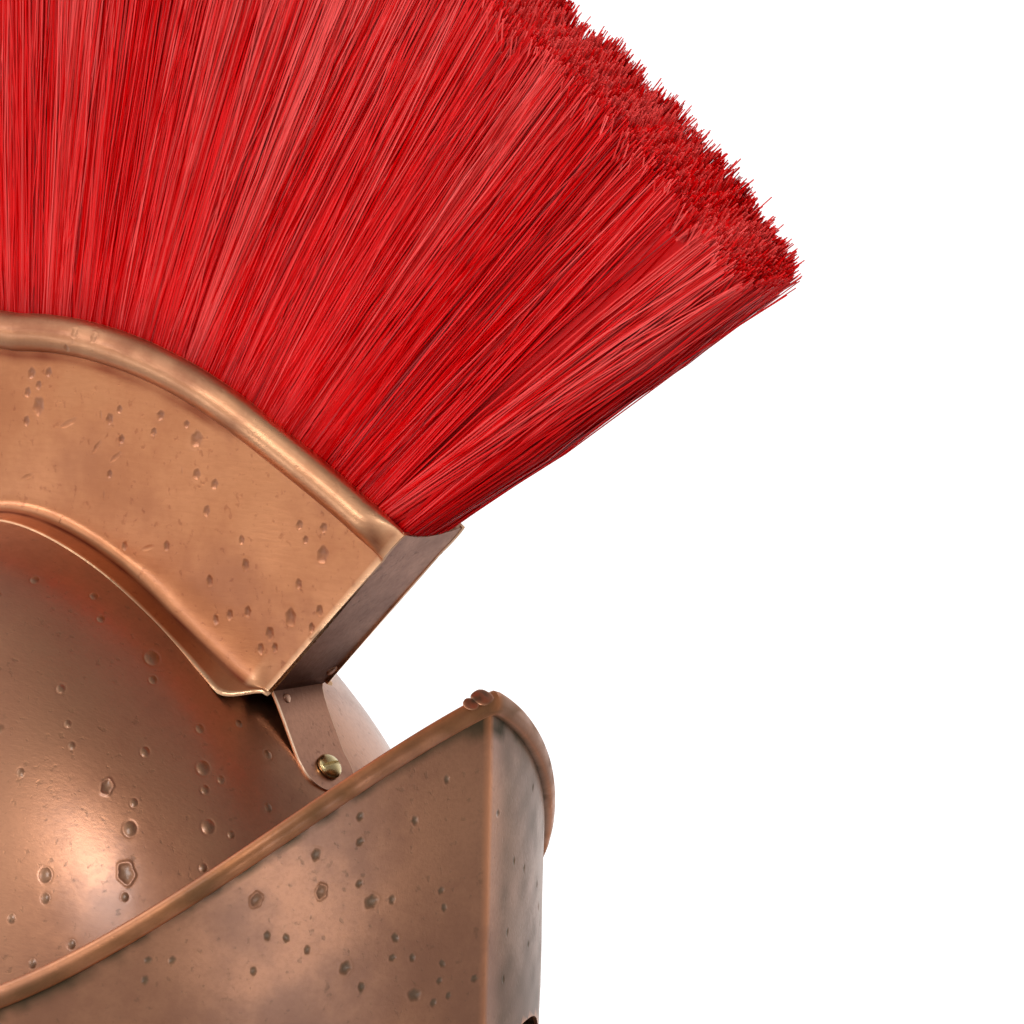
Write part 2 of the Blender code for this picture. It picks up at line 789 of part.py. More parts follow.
def build_helmet():
    """Make every piece of the helmet."""
    copper = material("antique_copper", COPPER_LIGHT)
    dark_copper = material("dark_copper", COPPER_DARK)
    brass = material("aged_brass", BRASS)
    bristle = material("red_bristle", BRISTLE_RED)
    skull = build_skull(dark_copper)
    guard = build_neck_guard(dark_copper)
    plate = build_face_plate(dark_copper)
    box = build_crest_box(copper)
    build_screw("crest_screw_front", 1, (box, skull), brass)
    build_screw("crest_screw_rear", -1, (box, skull), brass)
    build_rivets(skull, guard, plate, dark_copper)
    build_bristles(bristle)


clear_scene()
build_helmet()
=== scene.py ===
"""Looks of the crested helmet: fine sheet metal, copper patina, dents and loose bristles.

Shapes are worked out as (forward, left, up) in metres from the middle of the
dome at its widest level; row_points() turns them into the row frame, where the
face looks along -Y and +X is the wearer's left.
"""

from __future__ import annotations

import logging
import math
from dataclasses import dataclass, field
from enum import Enum

import bmesh
import bpy
import numpy as np
from mathutils import Matrix, Vector
from mathutils.bvhtree import BVHTree


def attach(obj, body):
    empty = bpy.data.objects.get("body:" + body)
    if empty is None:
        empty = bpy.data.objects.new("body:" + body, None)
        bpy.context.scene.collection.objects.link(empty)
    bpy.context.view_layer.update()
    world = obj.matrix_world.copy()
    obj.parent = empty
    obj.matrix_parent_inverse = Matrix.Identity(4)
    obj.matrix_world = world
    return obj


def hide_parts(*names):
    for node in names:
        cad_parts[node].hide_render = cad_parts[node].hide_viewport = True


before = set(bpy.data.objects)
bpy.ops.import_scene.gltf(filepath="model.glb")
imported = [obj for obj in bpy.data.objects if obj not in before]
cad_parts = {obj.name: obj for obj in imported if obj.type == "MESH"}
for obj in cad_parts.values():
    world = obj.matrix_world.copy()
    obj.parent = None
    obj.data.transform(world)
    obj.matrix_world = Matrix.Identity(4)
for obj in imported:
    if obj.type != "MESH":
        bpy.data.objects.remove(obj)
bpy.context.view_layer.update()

log = logging.getLogger("helmet")

BODY = "root"
BASE_DEPTH = 0.125
MM = 0.001


class Face(Enum):
    """Which side of the helmet a piece belongs to."""

    LEFT = 1
    RIGHT = -1


class DentKind(Enum):
    """How a mark in the metal is shaped."""

    PIT = "pit"
    RING = "ring"
    SCRATCH = "scratch"
    BLISTER = "blister"


@dataclass(frozen=True)
class Dent:
    """One mark, read from the photograph.

    x and y are its place in the 1024 by 1024 picture; radius and depth are real
    sizes in millimetres; stain is how dirty it is, 0 to 1; turn is the direction
    of a scratch in degrees.
    """

    x: float
    y: float
    radius: float
    depth: float
    stain: float = 0.4
    kind: DentKind = DentKind.PIT
    turn: float = 90.0


def row_points(points: np.ndarray) -> np.ndarray:
    """Turn (forward, left, up) points into the row frame.

    Args:
        points: array of shape (..., 3).

    Returns:
        Array of the same shape in row-frame metres.
    """
    forward, left, up = np.moveaxis(points, -1, 0)
    return np.stack([left, -forward, up + BASE_DEPTH], axis=-1)


def smooth_step(value: np.ndarray | float) -> np.ndarray | float:
    """0 below 0, 1 above 1, with a smooth rise between."""
    value = np.clip(value, 0.0, 1.0)
    return value * value * (3.0 - 2.0 * value)


def ripple(points: np.ndarray, wavelength: float, seed: int) -> np.ndarray:
    """Smooth unevenness of hand-worked sheet, about -1 to 1.

    Args:
        points: array of points in metres.
        wavelength: size of the swells in metres.
        seed: number that picks the pattern.

    Returns:
        One value for each point.
    """
    draw = np.random.default_rng(seed)
    total = np.zeros(points.shape[:-1])
    count = 9
    for _ in range(count):
        direction = draw.normal(size=3)
        direction /= np.linalg.norm(direction)
        pace = 2.0 * math.pi / (wavelength * draw.uniform(0.6, 1.7))
        total += np.sin(points @ direction * pace + draw.uniform(0.0, 2.0 * math.pi))
    return total / math.sqrt(count)


# Meshes


class MeshParts:
    """Collects vertices and faces of closed bodies into one mesh."""

    def __init__(self) -> None:
        """Start with no bodies."""
        self.points: list[np.ndarray] = []
        self.faces: list[tuple[int, ...]] = []
        self.count = 0

    def add(self, points: np.ndarray, faces: list[tuple[int, ...]]) -> None:
        """Add a body given by its own points and faces."""
        self.points.append(points.reshape(-1, 3))
        self.faces.extend(tuple(index + self.count for index in face) for face in faces)
        self.count += len(self.points[-1])

    def add_loft(self, sections: np.ndarray) -> None:
        """Add a body skinned over closed sections of shape (stations, points, 3)."""
        stations, around = sections.shape[:2]
        faces: list[tuple[int, ...]] = []
        for station in range(stations - 1):
            near, far = station * around, (station + 1) * around
            for index in range(around):
                after = (index + 1) % around
                faces.append((near + index, near + after, far + after, far + index))
        faces.append(tuple(range(around))[::-1])
        faces.append(tuple((stations - 1) * around + index for index in range(around)))
        self.add(sections, faces)

    def build(self, name: str) -> bpy.types.Mesh:
        """Make the mesh, with its faces pointing out."""
        mesh = bpy.data.meshes.new(name)
        mesh.from_pydata(np.concatenate(self.points).tolist(), [], self.faces)
        shape = bmesh.new()
        shape.from_mesh(mesh)
        bmesh.ops.recalc_face_normals(shape, faces=shape.faces)
        shape.to_mesh(mesh)
        shape.free()
        return mesh


def link_piece(name: str, mesh: bpy.types.Mesh, finish: bpy.types.Material,
               smooth_angle: float = 35.0) -> bpy.types.Object:
    """Link a mesh as a smooth-shaded object with one material.

    Args:
        name: the piece's name.
        mesh: its mesh.
        finish: its material.
        smooth_angle: edges sharper than this many degrees stay sharp.

    Returns:
        The new object.
    """
    mesh.materials.clear()
    mesh.materials.append(finish)
    mesh.shade_smooth()
    mesh.set_sharp_from_angle(angle=math.radians(smooth_angle))
    piece = bpy.data.objects.new(name, mesh)
    bpy.context.scene.collection.objects.link(piece)
    return piece


def stand_for(piece: bpy.types.Object, slot: str, *nodes: str) -> None:
    """Make a piece ride on the helmet and stand for its CAD nodes."""
    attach(piece, BODY)
    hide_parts(*nodes)
    log.info("%s: %d faces", piece.name, len(piece.data.polygons))


def write_attribute(mesh: bpy.types.Mesh, name: str, values: np.ndarray) -> None:
    """Store one number for each vertex under a name that a material reads."""
    layer = mesh.attributes.get(name) or mesh.attributes.new(name, "FLOAT", "POINT")
    layer.data.foreach_set("value", np.asarray(values, np.float32))


def read_points(mesh: bpy.types.Mesh) -> np.ndarray:
    """The mesh's vertices as an array."""
    flat = np.empty(len(mesh.vertices) * 3)
    mesh.vertices.foreach_get("co", flat)
    return flat.reshape(-1, 3)


# Camera


@dataclass(frozen=True)
class PhotoCamera:
    """Camera of the photograph: where it stands and what it aims at.

    azimuth is counted from the helmet's right-hand side towards its front. The
    middle of the dome lies at pixel (centre_x, centre_y).
    """

    azimuth: float = 42.0
    elevation: float = 9.79
    distance: float = 2.66
    centre_x: float = 47.5
    centre_y: float = 990.6
    pixels_per_metre: float = 3400.0
    picture: float = 1024.0
    sensor: float = 36.0

    def axes(self) -> tuple[Vector, Vector, Vector]:
        """The view's right, up and away directions before the aim is turned."""
        turn, rise = math.radians(self.azimuth), math.radians(self.elevation)
        right = Vector((math.sin(turn), -math.cos(turn), 0.0))
        level = Vector((math.cos(turn), math.sin(turn), 0.0))
        up = Vector((0.0, 0.0, 1.0))
        away = level * math.cos(rise) - up * math.sin(rise)
        view_up = up * math.cos(rise) + level * math.sin(rise)
        return right, view_up, away

    def eye(self) -> Vector:
        """Where the camera stands."""
        return Vector((0.0, 0.0, BASE_DEPTH)) - self.axes()[2] * self.distance

    def ray(self, x: float, y: float) -> Vector:
        """Direction from the camera through a pixel of the photograph."""
        right, view_up, away = self.axes()
        across = (x - self.centre_x) / self.pixels_per_metre
        rise = (self.centre_y - y) / self.pixels_per_metre
        return (away * self.distance + right * across + view_up * rise).normalized()

    def build(self) -> bpy.types.Object:
        """Make the camera, aimed at the middle of the picture."""
        lens = bpy.data.cameras.new("photo_camera")
        lens.sensor_width = self.sensor
        lens.lens = self.sensor * self.pixels_per_metre * self.distance / self.picture
        lens.clip_end = 50.0
        camera = bpy.data.objects.new("photo_camera", lens)
        bpy.context.scene.collection.objects.link(camera)
        aim = self.ray(self.picture / 2, self.picture / 2)
        right = self.axes()[0]
        side = (right - aim * right.dot(aim)).normalized()
        turned = Matrix((side, side.cross(aim), -aim)).transposed().to_4x4()
        turned.translation = self.eye()
        camera.matrix_world = turned
        bpy.context.scene.camera = camera
        return camera


# Shapes of the sheets


@dataclass(frozen=True)
class DomeShape:
    """Sizes of the dome and of the sheets that follow its skirt."""

    sheet: float = 0.0012
    seat_gap: float = 0.0003
    half_length: float = 0.1375
    half_width: float = 0.1035
    height: float = 0.1430
    squareness: float = 1.64
    softness: float = 0.06
    skirt_depth: float = 0.030
    front_edge: float = 0.025
    front_span: tuple[float, float] = (0.33, 0.74)
    side_taper: float = 0.007
    cad_columns: int = 56

    def rounded_power(self, share: np.ndarray) -> np.ndarray:
        """A power curve from 0 to 1 with a rounded foot."""
        foot = self.softness ** self.squareness
        span = (1.0 + self.softness ** 2) ** (self.squareness / 2) - foot
        return ((share ** 2 + self.softness ** 2) ** (self.squareness / 2) - foot) / span

    def rounded_root(self, value: np.ndarray) -> np.ndarray:
        """The share whose rounded_power is the value."""
        foot = self.softness ** self.squareness
        span = (1.0 + self.softness ** 2) ** (self.squareness / 2) - foot
        inside = (np.maximum(value, 0.0) * span + foot) ** (2 / self.squareness)
        return np.sqrt(np.maximum(inside - self.softness ** 2, 0.0))

    def level(self, forward: np.ndarray, left: np.ndarray) -> np.ndarray:
        """Height of the dome's outer surface above a place."""
        across = (1.0 - (left / self.half_width) ** 2) ** (self.squareness / 2)
        return self.height * self.rounded_root(across - self.rounded_power(forward / self.half_length))

    def point(self, angle: np.ndarray, up: np.ndarray) -> np.ndarray:
        """Points of the outer surface at angles around and heights."""
        level = self.rounded_power(np.maximum(up, 0.0) / self.height)
        forward = self.half_length * self.rounded_root(1.0 - level) * np.cos(angle)
        reach = self.rounded_power(forward / self.half_length) + level
        left = self.half_width * np.sqrt(np.maximum(1.0 - reach ** (2 / self.squareness), 0.0))
        return np.stack([forward, np.copysign(left, np.sin(angle)), up + 0.0 * angle], axis=-1)

    def edge(self, angle: np.ndarray) -> np.ndarray:
        """Level of the skull's lower edge, raised over the face."""
        forward = self.half_length * np.cos(angle)
        start, end = (share * self.half_length for share in self.front_span)
        rise = smooth_step((forward - start) / (end - start))
        return -self.skirt_depth + (self.front_edge + self.skirt_depth) * rise

    def skirt_frame(self, angle: np.ndarray) -> tuple[np.ndarray, np.ndarray]:
        """Points of the widest line and their outward normals, as (forward, left)."""
        step = 0.002
        here = self.point(angle, 0.0 * angle)[..., :2]
        along = self.point(angle + step, 0.0 * angle) - self.point(angle - step, 0.0 * angle)
        normal = np.stack([along[..., 1], -along[..., 0]], axis=-1)
        return here, normal / np.linalg.norm(normal, axis=-1, keepdims=True)

    def column_angle(self, index: float) -> float:
        """Angle of one of the CAD model's columns, 0 at the front."""
        return 2.0 * math.pi * index / self.cad_columns

    def below_skirt(self, up: np.ndarray) -> np.ndarray:
        """How far down from the skirt to the base plane a level lies, 0 to 1."""
        return np.maximum(-self.skirt_depth - up, 0.0) / (BASE_DEPTH - self.skirt_depth)

    def side_shift(self, up: np.ndarray) -> np.ndarray:
        """Outward shift of the lower sheets, which taper in below the skirt."""
        return -self.side_taper * self.below_skirt(up) ** 1.6


def offset_surface(points: np.ndarray, distance: float) -> np.ndarray:
    """Move a grid of points along its own normals.

    Args:
        points: grid of shape (rows, columns, 3) whose normals point out.
        distance: how far, in metres; negative is inwards.

    Returns:
        The moved grid.
    """
    down = np.gradient(points, axis=0)
    along = np.gradient(points, axis=1)
    normal = np.cross(along, down)
    normal /= np.maximum(np.linalg.norm(normal, axis=-1, keepdims=True), 1e-12)
    return points + normal * distance


@dataclass
class SkullPiece:
    """The dome shell, hammered a little uneven."""

    dome: DomeShape
    columns: int = 240
    rows: int = 58
    swell: float = 0.00022

    def surface(self) -> np.ndarray:
        """Outer surface as a grid from near the crown down to the edge."""
        angle = np.linspace(0.0, 2.0 * np.pi, self.columns, endpoint=False)[None, :]
        share = np.linspace(0.0, 1.0, self.rows + 1)[1:, None]
        edge = self.dome.edge(angle)
        up = edge + (self.dome.height - edge) * np.cos(share * np.pi / 2)
        points = self.dome.point(angle + 0.0 * share, up)
        clear = np.maximum(np.abs(points[..., 1]) - 0.024, 0.0) / 0.014
        fade = smooth_step(points[..., 2] / 0.02) * smooth_step(clear)
        out = points * np.array([1.0, 1.0, 0.6])
        out /= np.linalg.norm(out, axis=-1, keepdims=True)
        return points + out * (ripple(points, 0.055, 3) * self.swell * fade)[..., None]

    def mesh(self) -> bpy.types.Mesh:
        """Closed shell: outer rings, inner rings, both crowns and the edge."""
        outer = self.surface()
        wrapped = np.concatenate([outer[:, -1:], outer, outer[:, :1]], axis=1)
        inner = offset_surface(wrapped, -self.dome.sheet)[:, 1:-1]
        rows, columns = outer.shape[:2]
        grid = np.arange(rows * columns).reshape(rows, columns)
        faces: list[tuple[int, ...]] = []
        for sheet in (0, rows * columns):
            for row in range(rows - 1):
                for column in range(columns):
                    after = (column + 1) % columns
                    faces.append((grid[row, column] + sheet, grid[row + 1, column] + sheet,
                                  grid[row + 1, after] + sheet, grid[row, after] + sheet))
        apexes = (2 * rows * columns, 2 * rows * columns + 1)
        for sheet, apex in zip((0, rows * columns), apexes):
            for column in range(columns):
                after = (column + 1) % columns
                faces.append((apex, grid[0, column] + sheet, grid[0, after] + sheet))
        for column in range(columns):
            after = (column + 1) % columns
            low, low_after = grid[-1, column], grid[-1, after]
            faces.append((low, low_after, low_after + rows * columns, low + rows * columns))
        crown = np.array([[0.0, 0.0, self.dome.height],
                          [0.0, 0.0, self.dome.height - self.dome.sheet]])
        parts = MeshParts()
        points = np.concatenate([outer.reshape(-1, 3), inner.reshape(-1, 3), crown])
        parts.add(row_points(points), [tuple(int(index) for index in face) for face in faces])
        return parts.build("skull_fine")


@dataclass
class PlatePiece:
    """The face plate: plan of arcs, rolled rim, ridge and face opening."""

    dome: DomeShape
    ridge_reach: float = 0.1645
    brow_radius: float = 0.1694
    brow_offset: float = 0.0416
    temple_radius: float = 0.047
    lean: float = 0.018
    rim_peak: float = 0.1045
    rim_temple: float = 0.0148
    rim_low_point: float = 0.0358
    roll_height: float = 0.0070
    roll_depth: float = 0.0042
    eye_reach: float = 0.066
    brow_level: float = 0.003
    slit_half_width: float = 0.0185
    nasal_half_width: float = 0.0100
    nasal_length: float = 0.46
    slit_top: float = 0.40
    lap_start: int = 15
    lap_end: int = 17
    step: float = 0.0022
    rows: int = 64
    swell: float = 0.00016
    # Face opening, right half: across as a share of eye_reach, down as a share
    # of the depth from the brow to the base plane
    eye_outline: tuple[tuple[float, float], ...] = (
        (0.26, 0.020), (0.50, -0.010), (0.78, 0.010), (1.00, 0.105),
        (0.96, 0.200), (0.70, 0.255), (0.44, 0.290),
    )

    def plan(self) -> tuple[np.ndarray, np.ndarray]:
        """Plan of the outer side from the ridge to the left rear edge.

        Returns:
            Points and outward normals as (forward, left).
        """
        lap_angles = np.radians(360.0 / self.dome.cad_columns * np.linspace(
            self.lap_start, self.lap_end, 12))
        lap, lap_normals = self.dome.skirt_frame(lap_angles)
        lap = lap + lap_normals * 2.0 * (self.dome.seat_gap + self.dome.sheet)
        centre = np.array([self.ridge_reach - math.sqrt(self.brow_radius ** 2 - self.brow_offset ** 2),
                           -self.brow_offset])
        spread = self.brow_radius - self.temple_radius
        heading = math.atan2(lap_normals[0, 1], lap_normals[0, 0])
        turn = math.acos((lap_normals[0] @ (lap[0] - centre) - self.temple_radius) / spread)
        join = heading - turn
        ridge = math.asin(self.brow_offset / self.brow_radius)
        temple = centre + spread * np.array([math.cos(join), math.sin(join)])
        brow_count = int(self.brow_radius * (join - ridge) / self.step)
        brow = np.linspace(ridge, join, brow_count, endpoint=False)
        bend = np.linspace(join, heading, int(self.temple_radius * turn / self.step) + 1)
        brow_normals = np.stack([np.cos(brow), np.sin(brow)], axis=-1)
        bend_normals = np.stack([np.cos(bend), np.sin(bend)], axis=-1)
        bend_points = temple + self.temple_radius * bend_normals
        gap = np.linalg.norm(lap[0] - bend_points[-1])
        flat = np.linspace(0.0, 1.0, int(gap / self.step))[1:-1, None]
        flat_points = bend_points[-1] + (lap[0] - bend_points[-1]) * flat
        flat_normals = np.repeat(lap_normals[:1], len(flat), axis=0)
        points = np.concatenate([centre + self.brow_radius * brow_normals, bend_points,
                                 flat_points, lap])
        normals = np.concatenate([brow_normals, bend_normals, flat_normals, lap_normals])
        points[0] = (self.ridge_reach, 0.0)
        normals[0] = (1.0 / math.cos(ridge), 0.0)
        return points, normals

    def rim_level(self, forward: np.ndarray) -> np.ndarray:
        """Top of the rolled rim at a place of the plan."""
        share = np.maximum(forward - self.rim_low_point, 0.0) / (self.ridge_reach - self.rim_low_point)
        return self.rim_temple + (self.rim_peak - self.rim_temple) * share ** 2

    def shift(self, up: np.ndarray) -> np.ndarray:
        """Outward shift of a level: taper below the skirt, lean above it."""
        return self.dome.side_shift(up) + self.lean * np.maximum(up + self.dome.skirt_depth, 0.0)

    def sections(self) -> np.ndarray:
        """Closed sections of the left half, from the ridge to the rear edge."""
        points, normals = self.plan()
        middle = self.rim_level(points[:, 0]) - self.roll_height / 2
        low = np.linspace(0.0, 1.0, self.rows)
        top = middle - self.roll_height * 0.52
        wall = -BASE_DEPTH + (top[:, None] + BASE_DEPTH) * low[None, :]
        turn = np.radians(np.linspace(-62.0, 180.0, 15))
        roll_out = self.roll_depth / 2 - self.dome.sheet + self.roll_depth / 2 * np.cos(turn)
        roll_up = middle[:, None] + self.roll_height / 2 * np.sin(turn)[None, :]
        up = np.concatenate([wall, roll_up, wall[:, ::-1]], axis=1)
        out = np.concatenate([np.zeros(self.rows), roll_out, np.full(self.rows, -self.dome.sheet)])
        out = out[None, :] + self.shift(up)
        ground = points[:, None, :] + normals[:, None, :] * out[..., None]
        made = np.concatenate([ground, up[..., None]], axis=-1)
        calm = smooth_step((points[:, 0] + 0.005) / 0.05)[:, None]
        worn = ripple(made, 0.045, 11) * self.swell * calm
        made[..., 0] += normals[:, None, 0] * worn
        made[..., 1] += normals[:, None, 1] * worn * np.sign(np.maximum(points[:, None, 1], 0.0))
        return made

    def cutter(self) -> bpy.types.Object:
        """Prism that cuts the face opening."""
        depth = self.brow_level + BASE_DEPTH
        chosen = [(across * self.eye_reach, self.brow_level - down * depth)
                  for across, down in self.eye_outline]
        eye = rounded_outline(chosen, 6)
        tip = self.brow_level - self.nasal_length * depth
        half = self.nasal_half_width
        nasal = rounded_outline([(0.0, tip), (half * 0.6, tip + half * 0.12),
                                 (half * 0.95, tip + half * 0.8), (half, tip + half * 1.6)], 4)
        nasal.append((half, self.brow_level - 0.13 * depth))
        slit = [(self.slit_half_width, self.brow_level - self.slit_top * depth),
                (self.slit_half_width, -BASE_DEPTH - self.slit_half_width)]
        right = nasal[1:] + eye + slit
        outline = right + [(-across, up) for across, up in reversed(right)] + [nasal[0]]
        ends = np.array([[(forward, across, up) for across, up in outline]
                         for forward in (self.ridge_reach * 0.5, self.ridge_reach * 1.2)])
        parts = MeshParts()
        parts.add_loft(row_points(ends))
        cutter = bpy.data.objects.new("face_opening_cutter", parts.build("face_opening_cutter"))
        bpy.context.scene.collection.objects.link(cutter)
        return cutter

    def mesh(self) -> bpy.types.Mesh:
        """Both halves lofted as one sheet, with the opening cut through."""
        left = self.sections()
        right = left[:0:-1] * np.array([1.0, -1.0, 1.0])
        parts = MeshParts()
        parts.add_loft(row_points(np.concatenate([right, left])))
        return cut_through(parts.build("plate_whole"), self.cutter(), "plate_fine")


def rounded_outline(points: list[tuple[float, float]], steps: int) -> list[tuple[float, float]]:
    """A smooth open curve through a few chosen points.

    Args:
        points: the chosen points.
        steps: points made for each stretch.

    Returns:
        The curve's points, both ends included.
    """
    ends = [points[0], *points, points[-1]]
    curve: list[tuple[float, float]] = []
    for before, start, end, after in zip(ends, ends[1:], ends[2:], ends[3:]):
        for step in range(steps):
            t = step / steps
            curve.append(tuple(
                0.5 * (2 * b + (c - a) * t + (2 * a - 5 * b + 4 * c - d) * t ** 2
                       + (3 * b - a - 3 * c + d) * t ** 3)
                for a, b, c, d in zip(before, start, end, after)))
    curve.append(points[-1])
    return curve


def cut_through(mesh: bpy.types.Mesh, cutter: bpy.types.Object, name: str) -> bpy.types.Mesh:
    """Cut a mesh by another object and drop both helpers.

    Args:
        mesh: the whole mesh.
        cutter: the object whose inside is taken away.
        name: name of the cut mesh.

    Returns:
        The cut mesh.
    """
    whole = bpy.data.objects.new("whole", mesh)
    bpy.context.scene.collection.objects.link(whole)
    boolean = whole.modifiers.new("Cut", "BOOLEAN")
    boolean.operation = "DIFFERENCE"
    boolean.solver = "EXACT"
    boolean.object = cutter
    evaluated = whole.evaluated_get(bpy.context.evaluated_depsgraph_get())
    made = bpy.data.meshes.new_from_object(evaluated)
    made.name = name
    for helper in (whole, cutter):
        data = helper.data
        bpy.data.objects.remove(helper)
        bpy.data.meshes.remove(data)
    return made


@dataclass
class GuardPiece:
    """The neck guard behind the head: waisted, then flared at the nape."""

    dome: DomeShape
    top: float = 0.004
    flare: float = 0.024
    waist: float = 0.006
    nape_start: float = 0.42
    start: int = 15
    columns: int = 170
    rows: int = 44

    def mesh(self) -> bpy.types.Mesh:
        """Closed sheet lofted around the back of the skirt."""
        first = self.dome.column_angle(self.start)
        angle = np.linspace(first, 2.0 * math.pi - first, self.columns)
        points, normals = self.dome.skirt_frame(angle)
        rear = smooth_step((-np.cos(angle) - self.nape_start) / (1.0 - self.nape_start))[:, None]
        up = np.linspace(-BASE_DEPTH, -self.top, self.rows)[None, :] + 0.0 * rear
        share = self.dome.below_skirt(up)
        waist = -self.waist * np.sin(math.pi * np.minimum(share * 1.4, 1.0))
        bell = self.flare * share ** 2.4
        out = (self.dome.seat_gap + self.dome.sheet
               + self.dome.side_shift(up) * (1.0 - rear) + (waist + bell) * rear)
        outer = points[:, None, :] + normals[:, None, :] * out[..., None]
        inner = points[:, None, :] + normals[:, None, :] * (out - self.dome.sheet)[..., None]
        ground = np.concatenate([outer, inner[:, ::-1]], axis=1)
        levels = np.concatenate([up, up[:, ::-1]], axis=1)[..., None]
        parts = MeshParts()
        parts.add_loft(row_points(np.concatenate([ground, levels], axis=-1)))
        return parts.build("guard_fine")


@dataclass(frozen=True)
class BoxShape:
    """Lines of the crest box, shared by its walls, its ends and the bristles."""

    dome: DomeShape
    seat_gap: float = 0.0005
    width: float = 0.0268
    reach: float = 0.0964
    lean: float = 45.8
    wall_height: float = 0.0571
    end_height: float = 0.0694
    rise: float = 0.0117
    rise_start: float = 0.62
    flange: float = 0.0090
    flange_rise: float = 0.30
    flange_round: float = 0.87
    bead_height: float = 0.0110
    bead_proud: float = 0.0040
    strap_step: float = 0.0096

    def under(self, forward: np.ndarray, left: np.ndarray | float,
              rise_share: np.ndarray | float = 1.0) -> np.ndarray:
        """Level of the box's underside over the dome."""
        start = self.rise_start * self.reach
        past = np.maximum(np.abs(forward) - start, 0.0) / (self.reach - start)
        return self.dome.level(forward, left) + self.seat_gap + self.rise * past ** 1.8 * rise_share

    def foot(self, share: np.ndarray) -> np.ndarray:
        """Foot of the wall as (forward, up) at shares of the half length."""
        forward = self.reach * share
        return np.stack([forward, self.under(forward, self.width / 2) + self.dome.sheet], axis=-1)

    def direction(self, share: np.ndarray) -> np.ndarray:
        """Direction in which the wall rises, leaning more towards the ends."""
        lean = np.radians(self.lean) * share
        return np.stack([np.sin(lean), np.cos(lean)], axis=-1)

    def height(self, share: np.ndarray) -> np.ndarray:
        """Height of the wall along its direction."""
        growth = np.sin(np.abs(share) * np.pi / 2) ** 1.15
        return self.wall_height + (self.end_height - self.wall_height) * growth

    def top(self, share: np.ndarray, sink: np.ndarray | float = 0.0) -> np.ndarray:
        """Point (forward, up) of the wall's top edge, or below it."""
        reach = (self.height(share) - sink)[..., None]
        return self.foot(share) + self.direction(share) * reach

    def place_on(self, forward: np.ndarray, up: np.ndarray) -> tuple[np.ndarray, np.ndarray]:
        """Share of the half length and height along the wall for places on the box."""
        share, high = forward / self.reach, 0.0 * up
        for _ in range(16):
            direction, foot = self.direction(share), self.foot(share)
            high = (up - foot[..., 1]) / direction[..., 1]
            share = np.clip((forward - direction[..., 0] * high) / self.reach, -1.0, 1.0)
        return share, high

    def flange_width(self, share: np.ndarray) -> np.ndarray:
        """Width of the foot flange, rounded off at both ends."""
        past = np.maximum(np.abs(share) - self.flange_round, 0.0) / (1.0 - self.flange_round)
        return np.maximum(self.flange * (1.0 - past ** 1.5), self.dome.sheet)

    def screw_frame(self, end: int) -> tuple[np.ndarray, np.ndarray]:
        """Point on the dome under a screw and the normal, as (forward, up)."""
        forward, step = self.reach + self.strap_step, 0.001
        slope = (self.dome.level(forward + step, 0.0) - self.dome.level(forward - step, 0.0)) / (2 * step)
        normal = np.array([-slope, 1.0]) / math.hypot(slope, 1.0)
        point = np.array([forward, float(self.dome.level(forward, 0.0))])
        flip = np.array([end, 1.0])
        return point * flip, normal * flip


